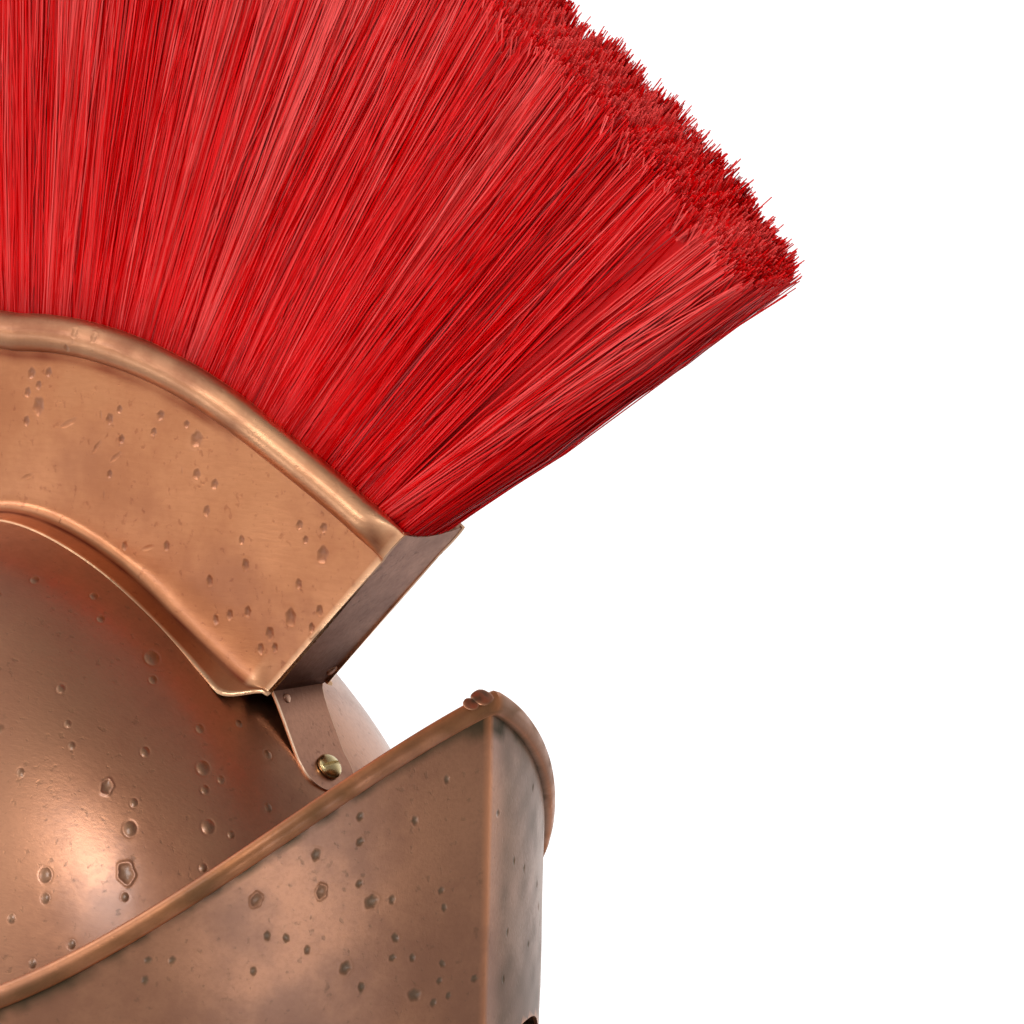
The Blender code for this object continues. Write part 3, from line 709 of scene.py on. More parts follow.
@dataclass
class WallPiece:
    """One long wall of the crest box: flange, soft crease, wall and bead."""

    box: BoxShape
    side: Face
    stations: int = 132
    fillet: float = 0.0032
    sweep: float = 0.0160
    edge_round: float = 0.0003
    wall_rows: int = 30
    bead_rows: int = 18
    swell: float = 0.00016

    def section_points(self) -> np.ndarray:
        """Closed sections of shape (stations, points, 3) as (forward, left, up)."""
        box, sheet = self.box, self.box.dome.sheet
        share = np.linspace(-1.0, 1.0, self.stations)
        foot, direction, height = box.foot(share), box.direction(share), box.height(share)
        half, width = box.width / 2, box.flange_width(share)
        edge = half + width
        rise = 1.0 - (1.0 - box.flange_rise) * (width / box.flange) ** 2
        under = box.under(foot[:, 0], edge, rise)
        run = np.minimum(self.fillet, width * 0.6)
        sweep = self.fillet + (self.sweep - self.fillet) * smooth_step((np.abs(share) - 0.42) / 0.4)
        rows: list[np.ndarray] = []

        def flange_row(left: np.ndarray, above: np.ndarray) -> None:
            """Add a row of the flange at a distance above its underside."""
            lane = (edge - left) / width
            low = under + (foot[:, 1] - sheet - under) * lane
            rows.append(np.stack([foot[:, 0], left, low + above], axis=-1))

        def wall_row(high: np.ndarray, left: np.ndarray) -> None:
            """Add a row of the wall at a height along its direction."""
            place = foot + direction * high[:, None]
            rows.append(np.stack([place[:, 0], left + 0.0 * high, place[:, 1]], axis=-1))

        flange_row(edge - self.edge_round, 0.0 * edge)
        flange_row(edge, self.edge_round + 0.0 * edge)
        flange_row(edge, sheet - self.edge_round + 0.0 * edge)
        for lane in np.linspace(0.0, 1.0, 7):
            flange_row((edge - self.edge_round) * (1 - lane) + (half + run) * lane, sheet + 0.0 * edge)
        flange_end, corner = rows[-1], np.stack([foot[:, 0], half + 0.0 * edge, foot[:, 1]], axis=-1)
        wall_row(sweep, half)
        wall_start = rows.pop()
        for bend in np.linspace(0.0, 1.0, 13)[1:]:
            rows.append(flange_end * (1 - bend) ** 2 + corner * 2 * bend * (1 - bend)
                        + wall_start * bend ** 2)
        top = height - box.bead_height
        for climb in np.linspace(0.0, 1.0, self.wall_rows)[1:]:
            wall_row(sweep + (top - sweep) * climb, half)
        fade = 1.0 - 0.8 * smooth_step((np.abs(share) - 0.92) / 0.08)
        turns = np.radians(np.linspace(0.0, 180.0, self.bead_rows))
        for turn in turns:
            proud = box.bead_proud * fade * math.sin(turn) ** 1.15
            wall_row(top + box.bead_height / 2 * (1.0 - math.cos(turn)), half + proud)
        for turn in turns[::-2]:
            proud = box.bead_proud * fade * math.sin(turn)
            wall_row(top + box.bead_height / 2 * (1.0 - math.cos(turn)), half - sheet + proud)
        rows.append(np.stack([foot[:, 0], half - sheet + 0.0 * edge,
                              box.under(foot[:, 0], half - sheet)], axis=-1))
        return np.stack(rows, axis=1)

    def mesh(self) -> bpy.types.Mesh:
        """The closed wall, a little uneven along its flat side."""
        made = self.section_points()
        made[..., 1] += ripple(made * [1.0, 0.0, 1.0], 0.05, 21) * self.swell
        made[..., 1] *= self.side.value
        parts = MeshParts()
        parts.add_loft(row_points(made))
        return parts.build(f"wall_{self.side.name.lower()}")


@dataclass
class EndPiece:
    """End plate of the crest box, bent over into the strap under the screw."""

    box: BoxShape
    end: int
    strap_width: float = 0.0200
    strap_tip: float = 0.0080
    dip: float = 0.0026
    across: int = 15

    def path(self) -> np.ndarray:
        """Rows of (forward, up, half width, dip) down the front end."""
        box, sheet = self.box, self.box.dome.sheet
        half = box.width / 2 - sheet * 0.35
        direction = box.direction(np.array(1.0))
        low = box.foot(np.array(1.0)) - np.array([direction[1], -direction[0]]) * 0.00015
        height = float(box.height(np.array(1.0)))
        seat, normal = box.screw_frame(1)
        seat = seat + normal * (box.dome.seat_gap + sheet)
        along = np.array([normal[1], -normal[0]])
        tip = self.strap_width / 2
        rows = [(*(low + direction * (height - drop * self.dip)), half, self.dip * max(1 - drop / 2.5, 0.0))
                for drop in (0.0, 0.6, 1.2, 1.8, 2.5)]
        middle = height - 2.5 * self.dip
        rows += [(*(low + direction * (middle + (box.strap_step * 0.3 - middle) * share)), half, 0.0)
                 for share in (0.2, 0.4, 0.6, 0.8, 0.95, 1.0)]
        rows.append((*low, half, 0.0))
        rows.append((*(low - direction * sheet + along * sheet * 0.2), tip, 0.0))
        for share in (1.0, 0.75, 0.5, 0.25):
            rows.append((*(seat - along * self.strap_tip * 0.55 * share), tip, 0.0))
        for turn in np.radians([0, 15, 30, 45, 57, 68, 77, 84]):
            rows.append((*(seat + along * math.sin(turn) * self.strap_tip), tip * math.cos(turn), 0.0))
        path = np.array(rows)
        for _ in range(2):
            quarter = path[:-1] * 0.75 + path[1:] * 0.25
            three = path[:-1] * 0.25 + path[1:] * 0.75
            inside = np.stack([quarter, three], axis=1).reshape(-1, 4)
            path = np.concatenate([path[:1], inside, path[-1:]])
        return path

    def mesh(self) -> bpy.types.Mesh:
        """Closed strip with softly rounded long edges."""
        path = self.path()
        along = np.gradient(path[:, :2], axis=0)
        along /= np.linalg.norm(along, axis=1, keepdims=True)
        inward = np.stack([along[:, 1], -along[:, 0]], axis=-1) * self.box.dome.sheet
        lane = np.sin(np.linspace(-1.0, 1.0, self.across) * np.pi / 2)
        sink = path[:, None, 3] * (1.0 - lane ** 2)
        face = path[:, None, :2] + along[:, None] * sink[..., None]
        left = path[:, None, 2] * lane[None]
        sides = []
        for depth, shrink in ((0.0, 0.985), (0.3, 1.0), (0.7, 1.0), (1.0, 0.985)):
            place = face + inward[:, None] * depth
            strip = np.stack([place[..., 0], left * shrink, place[..., 1]], axis=-1)
            sides.append(strip)
        outer, upper, lower, inner = sides
        made = np.concatenate([outer, upper[:, -1:], lower[:, -1:], inner[:, ::-1],
                               lower[:, :1], upper[:, :1]], axis=1)
        made[..., 0] *= self.end
        parts = MeshParts()
        parts.add_loft(row_points(made))
        mesh = parts.build("end_front" if self.end > 0 else "end_rear")
        rim = np.zeros(made.shape[1])
        rim[[0, self.across - 1, self.across, self.across + 1, -2, -1]] = 0.9
        write_attribute(mesh, "wear", np.tile(rim, len(path)))
        low = self.box.foot(np.array(1.0))
        rise = made[..., 2] - low[1]
        # Painted shade: darker in the fold at the box's foot and over the lower part of the end plate
        fold = np.exp(-(np.hypot(np.abs(made[..., 0]) - low[0], rise) / 0.0045) ** 2) * 0.8
        shade = smooth_step((0.020 - rise) / 0.018) * smooth_step(rise / 0.002) * 0.75
        write_attribute(mesh, "grime", np.maximum(fold, shade).reshape(-1))
        return mesh


# Fasteners and solder


def lathe(profile: np.ndarray, sides: int) -> tuple[np.ndarray, list[tuple[int, ...]]]:
    """Turn (radius, height) points, top to bottom, about the Z axis.

    Args:
        profile: points whose first and last lie on the axis.
        sides: number of sides around.

    Returns:
        Points and faces of the closed body.
    """
    turn = np.linspace(0.0, 2.0 * np.pi, sides, endpoint=False)
    rings = profile[1:-1]
    points = np.stack([rings[:, :1] * np.cos(turn), rings[:, :1] * np.sin(turn),
                       rings[:, 1:] + 0.0 * turn], axis=-1).reshape(-1, 3)
    points = np.concatenate([points, [[0.0, 0.0, profile[0, 1]], [0.0, 0.0, profile[-1, 1]]]])
    top, bottom = len(points) - 2, len(points) - 1
    faces: list[tuple[int, ...]] = []
    for side in range(sides):
        after = (side + 1) % sides
        faces.append((top, side, after))
        for ring in range(len(rings) - 1):
            low, high = (ring + 1) * sides, ring * sides
            faces.append((high + side, low + side, low + after, high + after))
        last = (len(rings) - 1) * sides
        faces.append((bottom, last + after, last + side))
    return points, faces


@dataclass
class Fastener:
    """Domed head on a shank with a closed inner end."""

    name: str
    origin: Vector
    axis: Vector
    stack: float
    head: float = 0.0080
    shank: float = 0.0034
    crown: float = 0.0020
    slot: float = 0.0
    seat_gap: float = 0.0003
    curved_gap: float = 0.0007
    sheet: float = 0.0012
    sides: int = 36

    def profile(self) -> np.ndarray:
        """Half section from the crown to the inner end."""
        radius = self.head / 2
        cap = [(radius * math.sin(turn), self.seat_gap + self.crown * (0.18 + 0.82 * math.cos(turn)))
               for turn in np.radians([0, 12, 24, 36, 48, 60, 72, 82, 90])]
        under = -self.stack - self.curved_gap
        return np.array([*cap, (radius, self.seat_gap), (self.shank / 2, self.seat_gap),
                         (self.shank / 2, under), (radius * 0.85, under),
                         (radius * 0.85, under - self.sheet), (0.0, under - self.sheet)])

    def mesh(self) -> bpy.types.Mesh:
        """The turned body in its place, with its slot cut where it has one."""
        points, faces = lathe(self.profile(), self.sides)
        turn = self.axis.to_track_quat("Z", "Y").to_matrix()
        into_place = np.array(turn).T
        parts = MeshParts()
        parts.add(points @ into_place + np.array(self.origin), faces)
        mesh = parts.build(self.name + "_fine")
        if not self.slot:
            return mesh
        half = np.array([self.head * 0.7, self.slot / 2, self.crown / 2])
        corners = np.array([(x, y, z) for x in (-1, 1) for y in (-1, 1) for z in (-1, 1)]) * half
        corners[:, 2] += self.seat_gap + self.crown
        sides = [(0, 1, 3, 2), (4, 6, 7, 5), (0, 4, 5, 1), (2, 3, 7, 6), (0, 2, 6, 4), (1, 5, 7, 3)]
        blade = MeshParts()
        blade.add(corners @ into_place + np.array(self.origin), sides)
        cutter = bpy.data.objects.new(self.name + "_slot", blade.build(self.name + "_slot"))
        bpy.context.scene.collection.objects.link(cutter)
        return cut_through(mesh, cutter, self.name + "_fine")


def screws(box: BoxShape) -> list[Fastener]:
    """The two slotted screws that hold the straps down."""
    made = []
    for name, end in (("crest_screw_front", 1), ("crest_screw_rear", -1)):
        point, normal = box.screw_frame(end)
        face = point + normal * (box.dome.seat_gap + box.dome.sheet)
        origin = Vector((0.0, -face[0], face[1] + BASE_DEPTH))
        axis = Vector((0.0, -normal[0], normal[1]))
        stack = 2.0 * box.dome.sheet + box.dome.seat_gap
        made.append(Fastener(name, origin, axis, stack, shank=0.0040, crown=0.0026, slot=0.0011))
    return made


def rivets(dome: DomeShape, plate: PlatePiece, guard: GuardPiece) -> list[Fastener]:
    """Rivets of the two laps and of the neck guard."""
    skirt, guard_offset = dome.skirt_depth, dome.seat_gap + dome.sheet
    levels = {"upper": -skirt * 0.34, "middle": -skirt * 0.78,
              "low": -skirt - (BASE_DEPTH - skirt) * 0.40,
              "lowest": -skirt - (BASE_DEPTH - skirt) * 0.82}
    lap = (guard.start + plate.lap_end) // 2
    made = []

    def rivet(name: str, column: int, up: float, outer: float, inner: float) -> None:
        """Add a rivet at a column and a level of the skirt."""
        point, normal = dome.skirt_frame(np.array(dome.column_angle(column)))
        face = point + normal * outer
        origin = Vector((face[1], -face[0], up + BASE_DEPTH))
        made.append(Fastener(name, origin, Vector((normal[1], -normal[0], 0.0)), outer - inner, sides=28))

    for side, column in (("left", lap), ("right", dome.cad_columns - lap)):
        for level, up in levels.items():
            through_skull = up > -skirt
            inner = -dome.sheet if through_skull else dome.seat_gap + float(dome.side_shift(up))
            outer = 2.0 * guard_offset + float(plate.shift(up))
            rivet(f"side_rivet_{level}_{side}", column, up, outer, inner)
    for number, share in enumerate((-1.0, -0.5, 0.0, 0.5, 1.0), start=1):
        column = dome.cad_columns // 2 + round(share * dome.cad_columns * 0.1875)
        rivet(f"neck_rivet_{number}", column, -skirt * 0.55, guard_offset, -dome.sheet)
    return made


@dataclass(frozen=True)
class Lump:
    """A blob of solder: its place in the photograph and its size in millimetres."""

    x: float
    y: float
    radius: float
    proud: float
    node: str


SOLDER = (
    Lump(286, 698, 1.5, 0.45, "crest_box"), Lump(331, 671, 1.9, 0.45, "crest_box"),
    Lump(470, 704, 2.4, 0.35, "face_plate"), Lump(481, 698, 3.0, 0.45, "face_plate"),
)


def solder_mesh(camera: PhotoCamera, node: str, sheets: list[bpy.types.Mesh]) -> bpy.types.Mesh:
    """Low uneven blobs where the photograph shows solder on a node.

    Args:
        camera: the camera that the places were read with.
        node: which node's blobs to make.
        sheets: the meshes that the blobs sit on.

    Returns:
        One mesh with all of that node's blobs.
    """
    trees = [BVHTree.FromPolygons([vertex.co for vertex in mesh.vertices],
                                  [tuple(face.vertices) for face in mesh.polygons]) for mesh in sheets]
    ball = bmesh.new()
    bmesh.ops.create_icosphere(ball, subdivisions=3, radius=1.0)
    shape = np.array([vertex.co for vertex in ball.verts])
    faces = [tuple(vertex.index for vertex in face.verts) for face in ball.faces]
    ball.free()
    parts = MeshParts()
    for index, lump in enumerate(lump for lump in SOLDER if lump.node == node):
        ray = camera.ray(lump.x, lump.y)
        hits = [hit for tree in trees if (hit := tree.ray_cast(camera.eye(), ray))[0] is not None]
        if not hits:
            continue
        point, normal, _, _ = min(hits, key=lambda hit: hit[3])
        turn = np.array(normal.to_track_quat("Z", "Y").to_matrix())
        uneven = 1.0 + 0.10 * ripple(shape * MM + index * 0.01, 0.0016, 12)
        blob = shape * uneven[:, None] * [lump.radius * MM, lump.radius * MM, lump.proud * MM]
        parts.add(blob @ turn.T + np.array(point), faces)
    return parts.build(f"{node}_solder")


# Bristles


@dataclass
class BristleFan:
    """Fan of loose bristles in clumps over a dark core."""

    box: BoxShape
    radius: float = 0.355
    centre: float = -0.0107
    fan: float = 48.3
    tip_width: float = 0.0290
    relief: float = 0.0016
    lock_count: int = 22
    strand: float = 0.00042
    side_strands: int = 7600
    end_strands: int = 1300
    cut_ends: int = 18000
    clumps: int = 210
    tufts: int = 64
    draw: np.random.Generator = field(default_factory=lambda: np.random.default_rng(17))

    def tip(self, share: np.ndarray, extra: np.ndarray | float = 0.0) -> np.ndarray:
        """Point (forward, up) of the cut ends at shares of the fan."""
        angle = np.radians(self.fan) * share
        reach = self.radius + extra
        return np.stack([reach * np.sin(angle), self.centre + reach * np.cos(angle)], axis=-1)

    def seat_half(self) -> float:
        """Half the width of the bristles where they enter the box."""
        return self.box.width / 2 - self.box.dome.sheet - self.box.dome.seat_gap

    def lay(self, root_share: np.ndarray, tip_share: np.ndarray, root_left: np.ndarray,
            tip_left: np.ndarray, extra: np.ndarray, levels: np.ndarray,
            sway: float) -> np.ndarray:
        """Paths of strands from inside the box to the cut ends.

        Args:
            root_share: where each strand leaves the box, -1 to 1.
            tip_share: where it ends on the fan.
            root_left: sideways place at the box.
            tip_left: sideways place at the tip.
            extra: length beyond the mean cut, in metres.
            levels: shares of the length at which a path has points.
            sway: how far a strand bends off a straight line, in metres.

        Returns:
            Array of shape (strands, levels, 3) as (forward, left, up).
        """
        root = self.box.top(root_share * 0.992, 0.006)
        tip = self.tip(tip_share, extra)
        along = tip - root
        across = np.stack([along[:, 1], -along[:, 0]], axis=-1)
        across /= np.linalg.norm(across, axis=-1, keepdims=True)
        bend = self.draw.normal(0.0, sway, len(root_share))
        wave = self.draw.normal(0.0, sway * 0.5, len(root_share))
        t = levels[None, :]
        shift = bend[:, None] * np.sin(np.pi * t) + wave[:, None] * np.sin(2 * np.pi * t)
        flat = root[:, None] + along[:, None] * t[..., None] + across[:, None] * shift[..., None]
        left = root_left[:, None] + (tip_left - root_left)[:, None] * t
        left = left + (self.draw.normal(0.0, sway * 0.35, len(root_share)))[:, None] * np.sin(np.pi * t)
        return np.stack([flat[..., 0], left, flat[..., 1]], axis=-1)

    def strand_mesh(self, name: str, paths: np.ndarray, tint: np.ndarray,
                    levels: np.ndarray, width: np.ndarray | float) -> bpy.types.Mesh:
        """Closed three-sided strands with their tint, which also carries painted shade and light, and their place
        along the length.
        """
        count, rings = paths.shape[:2]
        along = np.gradient(paths, axis=1)
        along /= np.linalg.norm(along, axis=-1, keepdims=True)
        side = np.cross(along, np.array([0.3, 1.0, 0.2]))
        side /= np.linalg.norm(side, axis=-1, keepdims=True)
        over = np.cross(side, along)
        phase = self.draw.uniform(0.0, 2.0 * np.pi, count)[:, None, None]
        turn = phase + np.arange(3)[None, None, :] * 2.0 * np.pi / 3.0
        thin = (np.ones(count) * width)[:, None, None] / math.sqrt(3.0) * np.linspace(1.0, 0.8, rings)[None, :, None]
        offset = (side[:, :, None] * np.cos(turn)[..., None] + over[:, :, None] * np.sin(turn)[..., None])
        points = paths[:, :, None] + offset * thin[..., None]
        ring = np.arange(rings - 1)[:, None] * 3
        corner = np.arange(3)[None, :]
        after = (corner + 1) % 3
        quads = np.stack([ring + corner, ring + after, ring + 3 + after, ring + 3 + corner], axis=-1)
        quads = quads.reshape(-1, 4)
        starts = np.arange(count)[:, None, None] * rings * 3
        caps = np.array([[2, 1, 0], [rings * 3 - 3, rings * 3 - 2, rings * 3 - 1]])
        faces = (quads[None] + starts).reshape(-1, 4).tolist() + (caps[None] + starts).reshape(-1, 3).tolist()
        mesh = bpy.data.meshes.new(name)
        mesh.from_pydata(row_points(points).reshape(-1, 3).tolist(), [], faces)
        write_attribute(mesh, "tint", np.repeat(tint, rings * 3))
        write_attribute(mesh, "reach", np.tile(np.repeat(levels, 3), count))
        return mesh

    def locks(self) -> tuple[np.ndarray, np.ndarray, np.ndarray]:
        """Places along the fan with the relief of the locks' sides and tips."""
        draw = np.random.default_rng(5)
        width = draw.uniform(0.7, 1.3, self.lock_count)
        start = np.concatenate([[0.0], np.cumsum(width)]) / width.sum() * 2.0 - 1.0
        place, sides, tips = [], [], []
        for left, right in zip(start, start[1:]):
            place += [left, left + (right - left) * 0.36, left + (right - left) * 0.70]
            sides += [-0.6, *draw.uniform(0.4, 1.0, 2)]
            tips += [-0.4, *draw.uniform(0.2, 1.0, 2)]
        return np.array(place + [1.0]), np.array(sides + [-0.6]), np.array(tips + [-0.4])

    def clump(self, share: np.ndarray, pull: float, seed: int,
              count: int) -> tuple[np.ndarray, np.ndarray]:
        """Pull strands towards their clump.

        Returns:
            The new shares and a number that is the same for each clump.
        """
        draw = np.random.default_rng(seed)
        centres = np.sort(draw.uniform(-1.0, 1.0, count))
        middle = (centres[1:] + centres[:-1]) / 2
        index = np.searchsorted(middle, share)
        tone = draw.normal(0.0, 1.0, count)
        return share + (centres[index] - share) * pull, tone[index]

    def side_mesh(self, side: Face) -> bpy.types.Mesh:
        """Long strands over one flat side of the fan."""
        count = self.side_strands
        levels = np.array([0.0, 0.36, 0.70, 1.0])
        share = self.draw.uniform(-0.985, 0.985, count)
        places, relief, tips = self.locks()
        tip_share, tone = self.clump(share, 0.45, 40 + side.value, self.clumps)
        tip_share, tuft = self.clump(tip_share, 0.22, 50 + side.value, self.tufts)
        tip_share = tip_share + tuft * 0.009
        depth = np.abs(self.draw.normal(0.0, 0.0011, count))
        thin = 1.0 - 0.35 * smooth_step((np.abs(share) - 0.93) / 0.07)
        root_left = (self.seat_half() - depth * 0.8) * thin
        tip_left = (self.tip_width / 2 + self.relief * np.interp(tip_share, places, relief) * 0.9
                    + tone * 0.0003 + tuft * 0.0005 - depth) * thin
        wander = np.where(self.draw.uniform(size=count) < 0.12, 0.040, 0.010)
        tip_share = np.clip(tip_share + self.draw.normal(0.0, 1.0, count) * wander, -1.0, 1.0)
        extra = (self.relief * np.interp(tip_share, places, tips) * 0.8
                 + self.draw.normal(0.0003, 0.0017, count))
        paths = self.lay(share, tip_share, root_left * side.value, tip_left * side.value, extra,
                         levels, 0.0013)
        # Painted shade: strands that lie deeper in the fan get a darker tone
        tint = 0.60 + 0.13 * tone + 0.12 * tuft + self.draw.normal(0.0, 0.20, count) - depth * 60.0
        return self.strand_mesh(f"bristles_{side.name.lower()}", paths, np.clip(tint, 0.0, 1.0), levels,
                                self.strand)

    def end_mesh(self, end: int) -> bpy.types.Mesh:
        """Long strands over the front or the rear edge of the fan."""
        count = self.end_strands
        levels = np.array([0.0, 0.36, 0.70, 1.0])
        lane = self.draw.uniform(-1.0, 1.0, count)
        share = 1.0 - 0.022 * self.draw.uniform(size=count) ** 1.5 - 0.008 * lane ** 4
        stray = self.draw.uniform(size=count) < 0.03
        wander = self.draw.normal(0.0, 0.006, count) - 0.012 * lane ** 4
        tip_share = np.minimum(share + wander, 1.0) + stray * self.draw.uniform(0.0, 0.02, count)
        extra = self.draw.normal(-0.0002, 0.0016, count)
        paths = self.lay(share * end, tip_share * end, lane * self.seat_half() * 0.94,
                         lane * self.tip_width / 2 * 0.86, extra, levels, 0.0011)
        tint = np.clip(0.45 + self.draw.normal(0.0, 0.22, count), 0.0, 1.0)
        name = "bristles_front_edge" if end > 0 else "bristles_rear_edge"
        return self.strand_mesh(name, paths, tint, levels, self.strand)

    def cut_end_mesh(self) -> bpy.types.Mesh:
        """Short strands that show their cut ends along the outer arc."""
        count = self.cut_ends
        levels = np.array([0.93, 1.0])
        places, _, tips = self.locks()
        share = self.draw.uniform(-0.992, 0.992, count)
        tip_share, tone = self.clump(share, 0.30, 77, self.clumps)
        left = self.draw.uniform(-1.0, 1.0, count)
        half = self.tip_width / 2 * 0.98
        extra = self.relief * np.interp(tip_share, places, tips) * 0.8 + self.draw.normal(0.0004, 0.0013, count)
        lean = self.draw.normal(0.0, 0.0022, count)
        tip = self.tip(tip_share, extra)
        foot = self.tip(share + self.draw.normal(0.0, 0.003, count), -0.009 + 0.0 * extra)
        paths = np.stack([
            np.stack([foot[:, 0], left * half * 0.97, foot[:, 1]], axis=-1),
            np.stack([tip[:, 0], left * half + lean, tip[:, 1]], axis=-1)], axis=1)
        # Painted light: the cut ends get a brighter tone than the side strands
        tint = np.clip(0.80 + 0.12 * tone + self.draw.normal(0.0, 0.20, count), 0.0, 1.0)
        return self.strand_mesh("bristles_cut_ends", paths, tint, levels, self.strand * 1.25)

    def core_mesh(self) -> bpy.types.Mesh:
        """Dark backing just inside the strands, set down into the box."""
        share = np.linspace(-0.978, 0.978, 90)
        places, relief, tips = self.locks()
        sides = np.interp(share, places, relief) * self.relief
        seat = self.box.top(share * 0.985, 0.028)
        root = self.box.top(share * 0.985)
        tip = self.tip(share, np.interp(share, places, tips) * self.relief * 0.6 - 0.0026)
        thin = 1.0 - 0.45 * smooth_step((np.abs(share) - 0.90) / 0.08)
        rows = [np.stack([seat[:, 0], self.seat_half() * 0.96 * thin, seat[:, 1]], axis=-1)]
        for level in (0.0, 0.25, 0.5, 0.75, 1.0):
            point = root + (tip - root) * level
            half = self.seat_half() + (self.tip_width / 2 - self.seat_half()) * level
            half = (half + sides * level * 0.8 - 0.0016) * thin
            rows.append(np.stack([point[:, 0], half, point[:, 1]], axis=-1))
        flip = np.array([1.0, -1.0, 1.0])
        crown = np.stack([tip[:, 0], 0.0 * share, tip[:, 1]], axis=-1)
        loop = rows + [crown] + [row * flip for row in reversed(rows)]
        parts = MeshParts()
        parts.add_loft(row_points(np.stack(loop, axis=1)))
        mesh = parts.build("bristle_core")
        write_attribute(mesh, "tint", np.full(len(mesh.vertices), 0.40))
        write_attribute(mesh, "reach", np.full(len(mesh.vertices), 0.5))
        return mesh


# Dents


@dataclass
class Mark:
    """A dent in its place on a surface, in metres."""

    point: np.ndarray
    normal: np.ndarray
    along: np.ndarray
    radius: float
    depth: float
    stretch: float
    stain: float
    kind: DentKind
    detail: float


LONGEST_SPLIT = 0.006


def refine_near(points: np.ndarray, normals: np.ndarray, wear: np.ndarray, triangles: np.ndarray,
                marks: list[Mark]) -> tuple[np.ndarray, ...]:
    """Split long edges near dents, keeping the surface's curve.

    Args:
        points: vertices.
        normals: their normals.
        wear: one number for each vertex, carried along.
        triangles: indices, three for each triangle.
        marks: dents on this mesh; edges near one are split until they are as short
            as its detail.

    Returns:
        New points, normals, wear and triangles.
    """
    centres = np.array([mark.point for mark in marks])
    reach = np.array([mark.radius * mark.stretch * 1.5 + 0.0004 for mark in marks])
    facing = np.array([mark.normal for mark in marks])
    for _ in range(4):
        edges = np.concatenate([triangles[:, [0, 1]], triangles[:, [1, 2]], triangles[:, [2, 0]]])
        edges = np.sort(edges, axis=1)
        unique, where = np.unique(edges, axis=0, return_inverse=True)
        where = where.reshape(3, -1).T
        ends = points[unique]
        length = np.linalg.norm(ends[:, 1] - ends[:, 0], axis=1)
        middle = ends.mean(axis=1)
        outward = normals[unique].mean(axis=1)
        target = np.full(len(unique), LONGEST_SPLIT)
        for centre, radius, face, mark in zip(centres, reach, facing, marks):
            near = np.linalg.norm(middle - centre, axis=1) < radius + length * 0.5
            near &= outward @ face > 0.4
            target[near] = np.minimum(target[near], mark.detail)
        alike = np.sum(normals[unique[:, 0]] * normals[unique[:, 1]], axis=1) > 0.8
        split = alike & (length > target) & (length < LONGEST_SPLIT)
        if not split.any():
            break
        numbers = np.full(len(unique), -1)
        numbers[split] = len(points) + np.arange(split.sum())
        first, second = points[unique[split, 0]], points[unique[split, 1]]
        one, two = normals[unique[split, 0]], normals[unique[split, 1]]
        half = (first + second) / 2
        curve = (np.sum((half - first) * one, axis=1, keepdims=True) * one
                 + np.sum((half - second) * two, axis=1, keepdims=True) * two) / 2
        points = np.concatenate([points, half - curve * 0.75])
        blend = one + two
        normals = np.concatenate([normals, blend / np.linalg.norm(blend, axis=1, keepdims=True)])
        wear = np.concatenate([wear, wear[unique[split]].mean(axis=1)])
        triangles = split_triangles(triangles, numbers[where])
    return points, normals, wear, triangles


def split_triangles(triangles: np.ndarray, middles: np.ndarray) -> np.ndarray:
    """Divide triangles at the middles of their split edges.

    Args:
        triangles: corner indices.
        middles: index of the point on each edge (01, 12, 20), or -1.

    Returns:
        The new triangles.
    """
    made = []
    count = (middles >= 0).sum(axis=1)
    made.append(triangles[count == 0])
    for corner in range(3):
        order = [(corner + step) % 3 for step in range(3)]
        a, b, c = (triangles[:, index] for index in order)
        ab, bc, ca = (middles[:, index] for index in order)
        chosen = (count == 1) & (ab >= 0)
        made.append(np.stack([a, ab, c], axis=1)[chosen])
        made.append(np.stack([ab, b, c], axis=1)[chosen])
        chosen = (count == 2) & (ca < 0)
        made.append(np.stack([ab, b, bc], axis=1)[chosen])
        made.append(np.stack([a, ab, bc], axis=1)[chosen])
        made.append(np.stack([a, bc, c], axis=1)[chosen])
    a, b, c = triangles.T
    ab, bc, ca = middles.T
    chosen = count == 3
    for corners in ((a, ab, ca), (ab, b, bc), (ca, bc, c), (ab, bc, ca)):
        made.append(np.stack(corners, axis=1)[chosen])
    return np.concatenate(made)


def press_marks(points: np.ndarray, normals: np.ndarray,
                marks: list[Mark]) -> tuple[np.ndarray, np.ndarray]:
    """Press dents into a surface.

    Returns:
        The moved points, and for each point how deep in a dent it lies, 0 to 1.
    """
    moved, stain = points.copy(), np.zeros(len(points))
    for mark in marks:
        offset = points - mark.point
        near = np.nonzero((np.linalg.norm(offset, axis=1) < mark.radius * mark.stretch * 1.7)
                          & (normals @ mark.normal > 0.3))[0]
        offset = offset[near]
        run = offset @ mark.along / mark.stretch
        across = offset @ np.cross(mark.normal, mark.along)
        angle = np.arctan2(across, run)
        rough = 0.0 if mark.kind is DentKind.BLISTER else 1.0
        wobble = 1.0 + rough * (0.12 * np.sin(2 * angle + mark.point[0] * 4000)
                                + 0.07 * np.sin(5 * angle + mark.point[2] * 3000))
        away = np.hypot(run, across) / (mark.radius * wobble)
        bowl = np.clip(1.0 - away ** 2, 0.0, 1.0) ** 1.3
        lip = np.exp(-((away - 1.12) / 0.20) ** 2)
        if mark.kind is DentKind.BLISTER:
            push = bowl - 0.22 * np.exp(-((away - 1.05) / 0.16) ** 2)
        elif mark.kind is DentKind.RING:
            push = 0.75 * lip - bowl
        else:
            push = 0.16 * lip - bowl
        moved[near] += normals[near] * (push * mark.depth)[:, None]
        dirt = np.clip(1.2 - away ** 2, 0.0, 1.0) * mark.stain
        stain[near] = np.maximum(stain[near], dirt)
    return moved, stain


CHARTED_DETAIL, SCATTERED_DETAIL = 0.00045, 0.0008
STRETCH = {DentKind.PIT: 1.12, DentKind.RING: 1.15, DentKind.SCRATCH: 3.4, DentKind.BLISTER: 1.25}


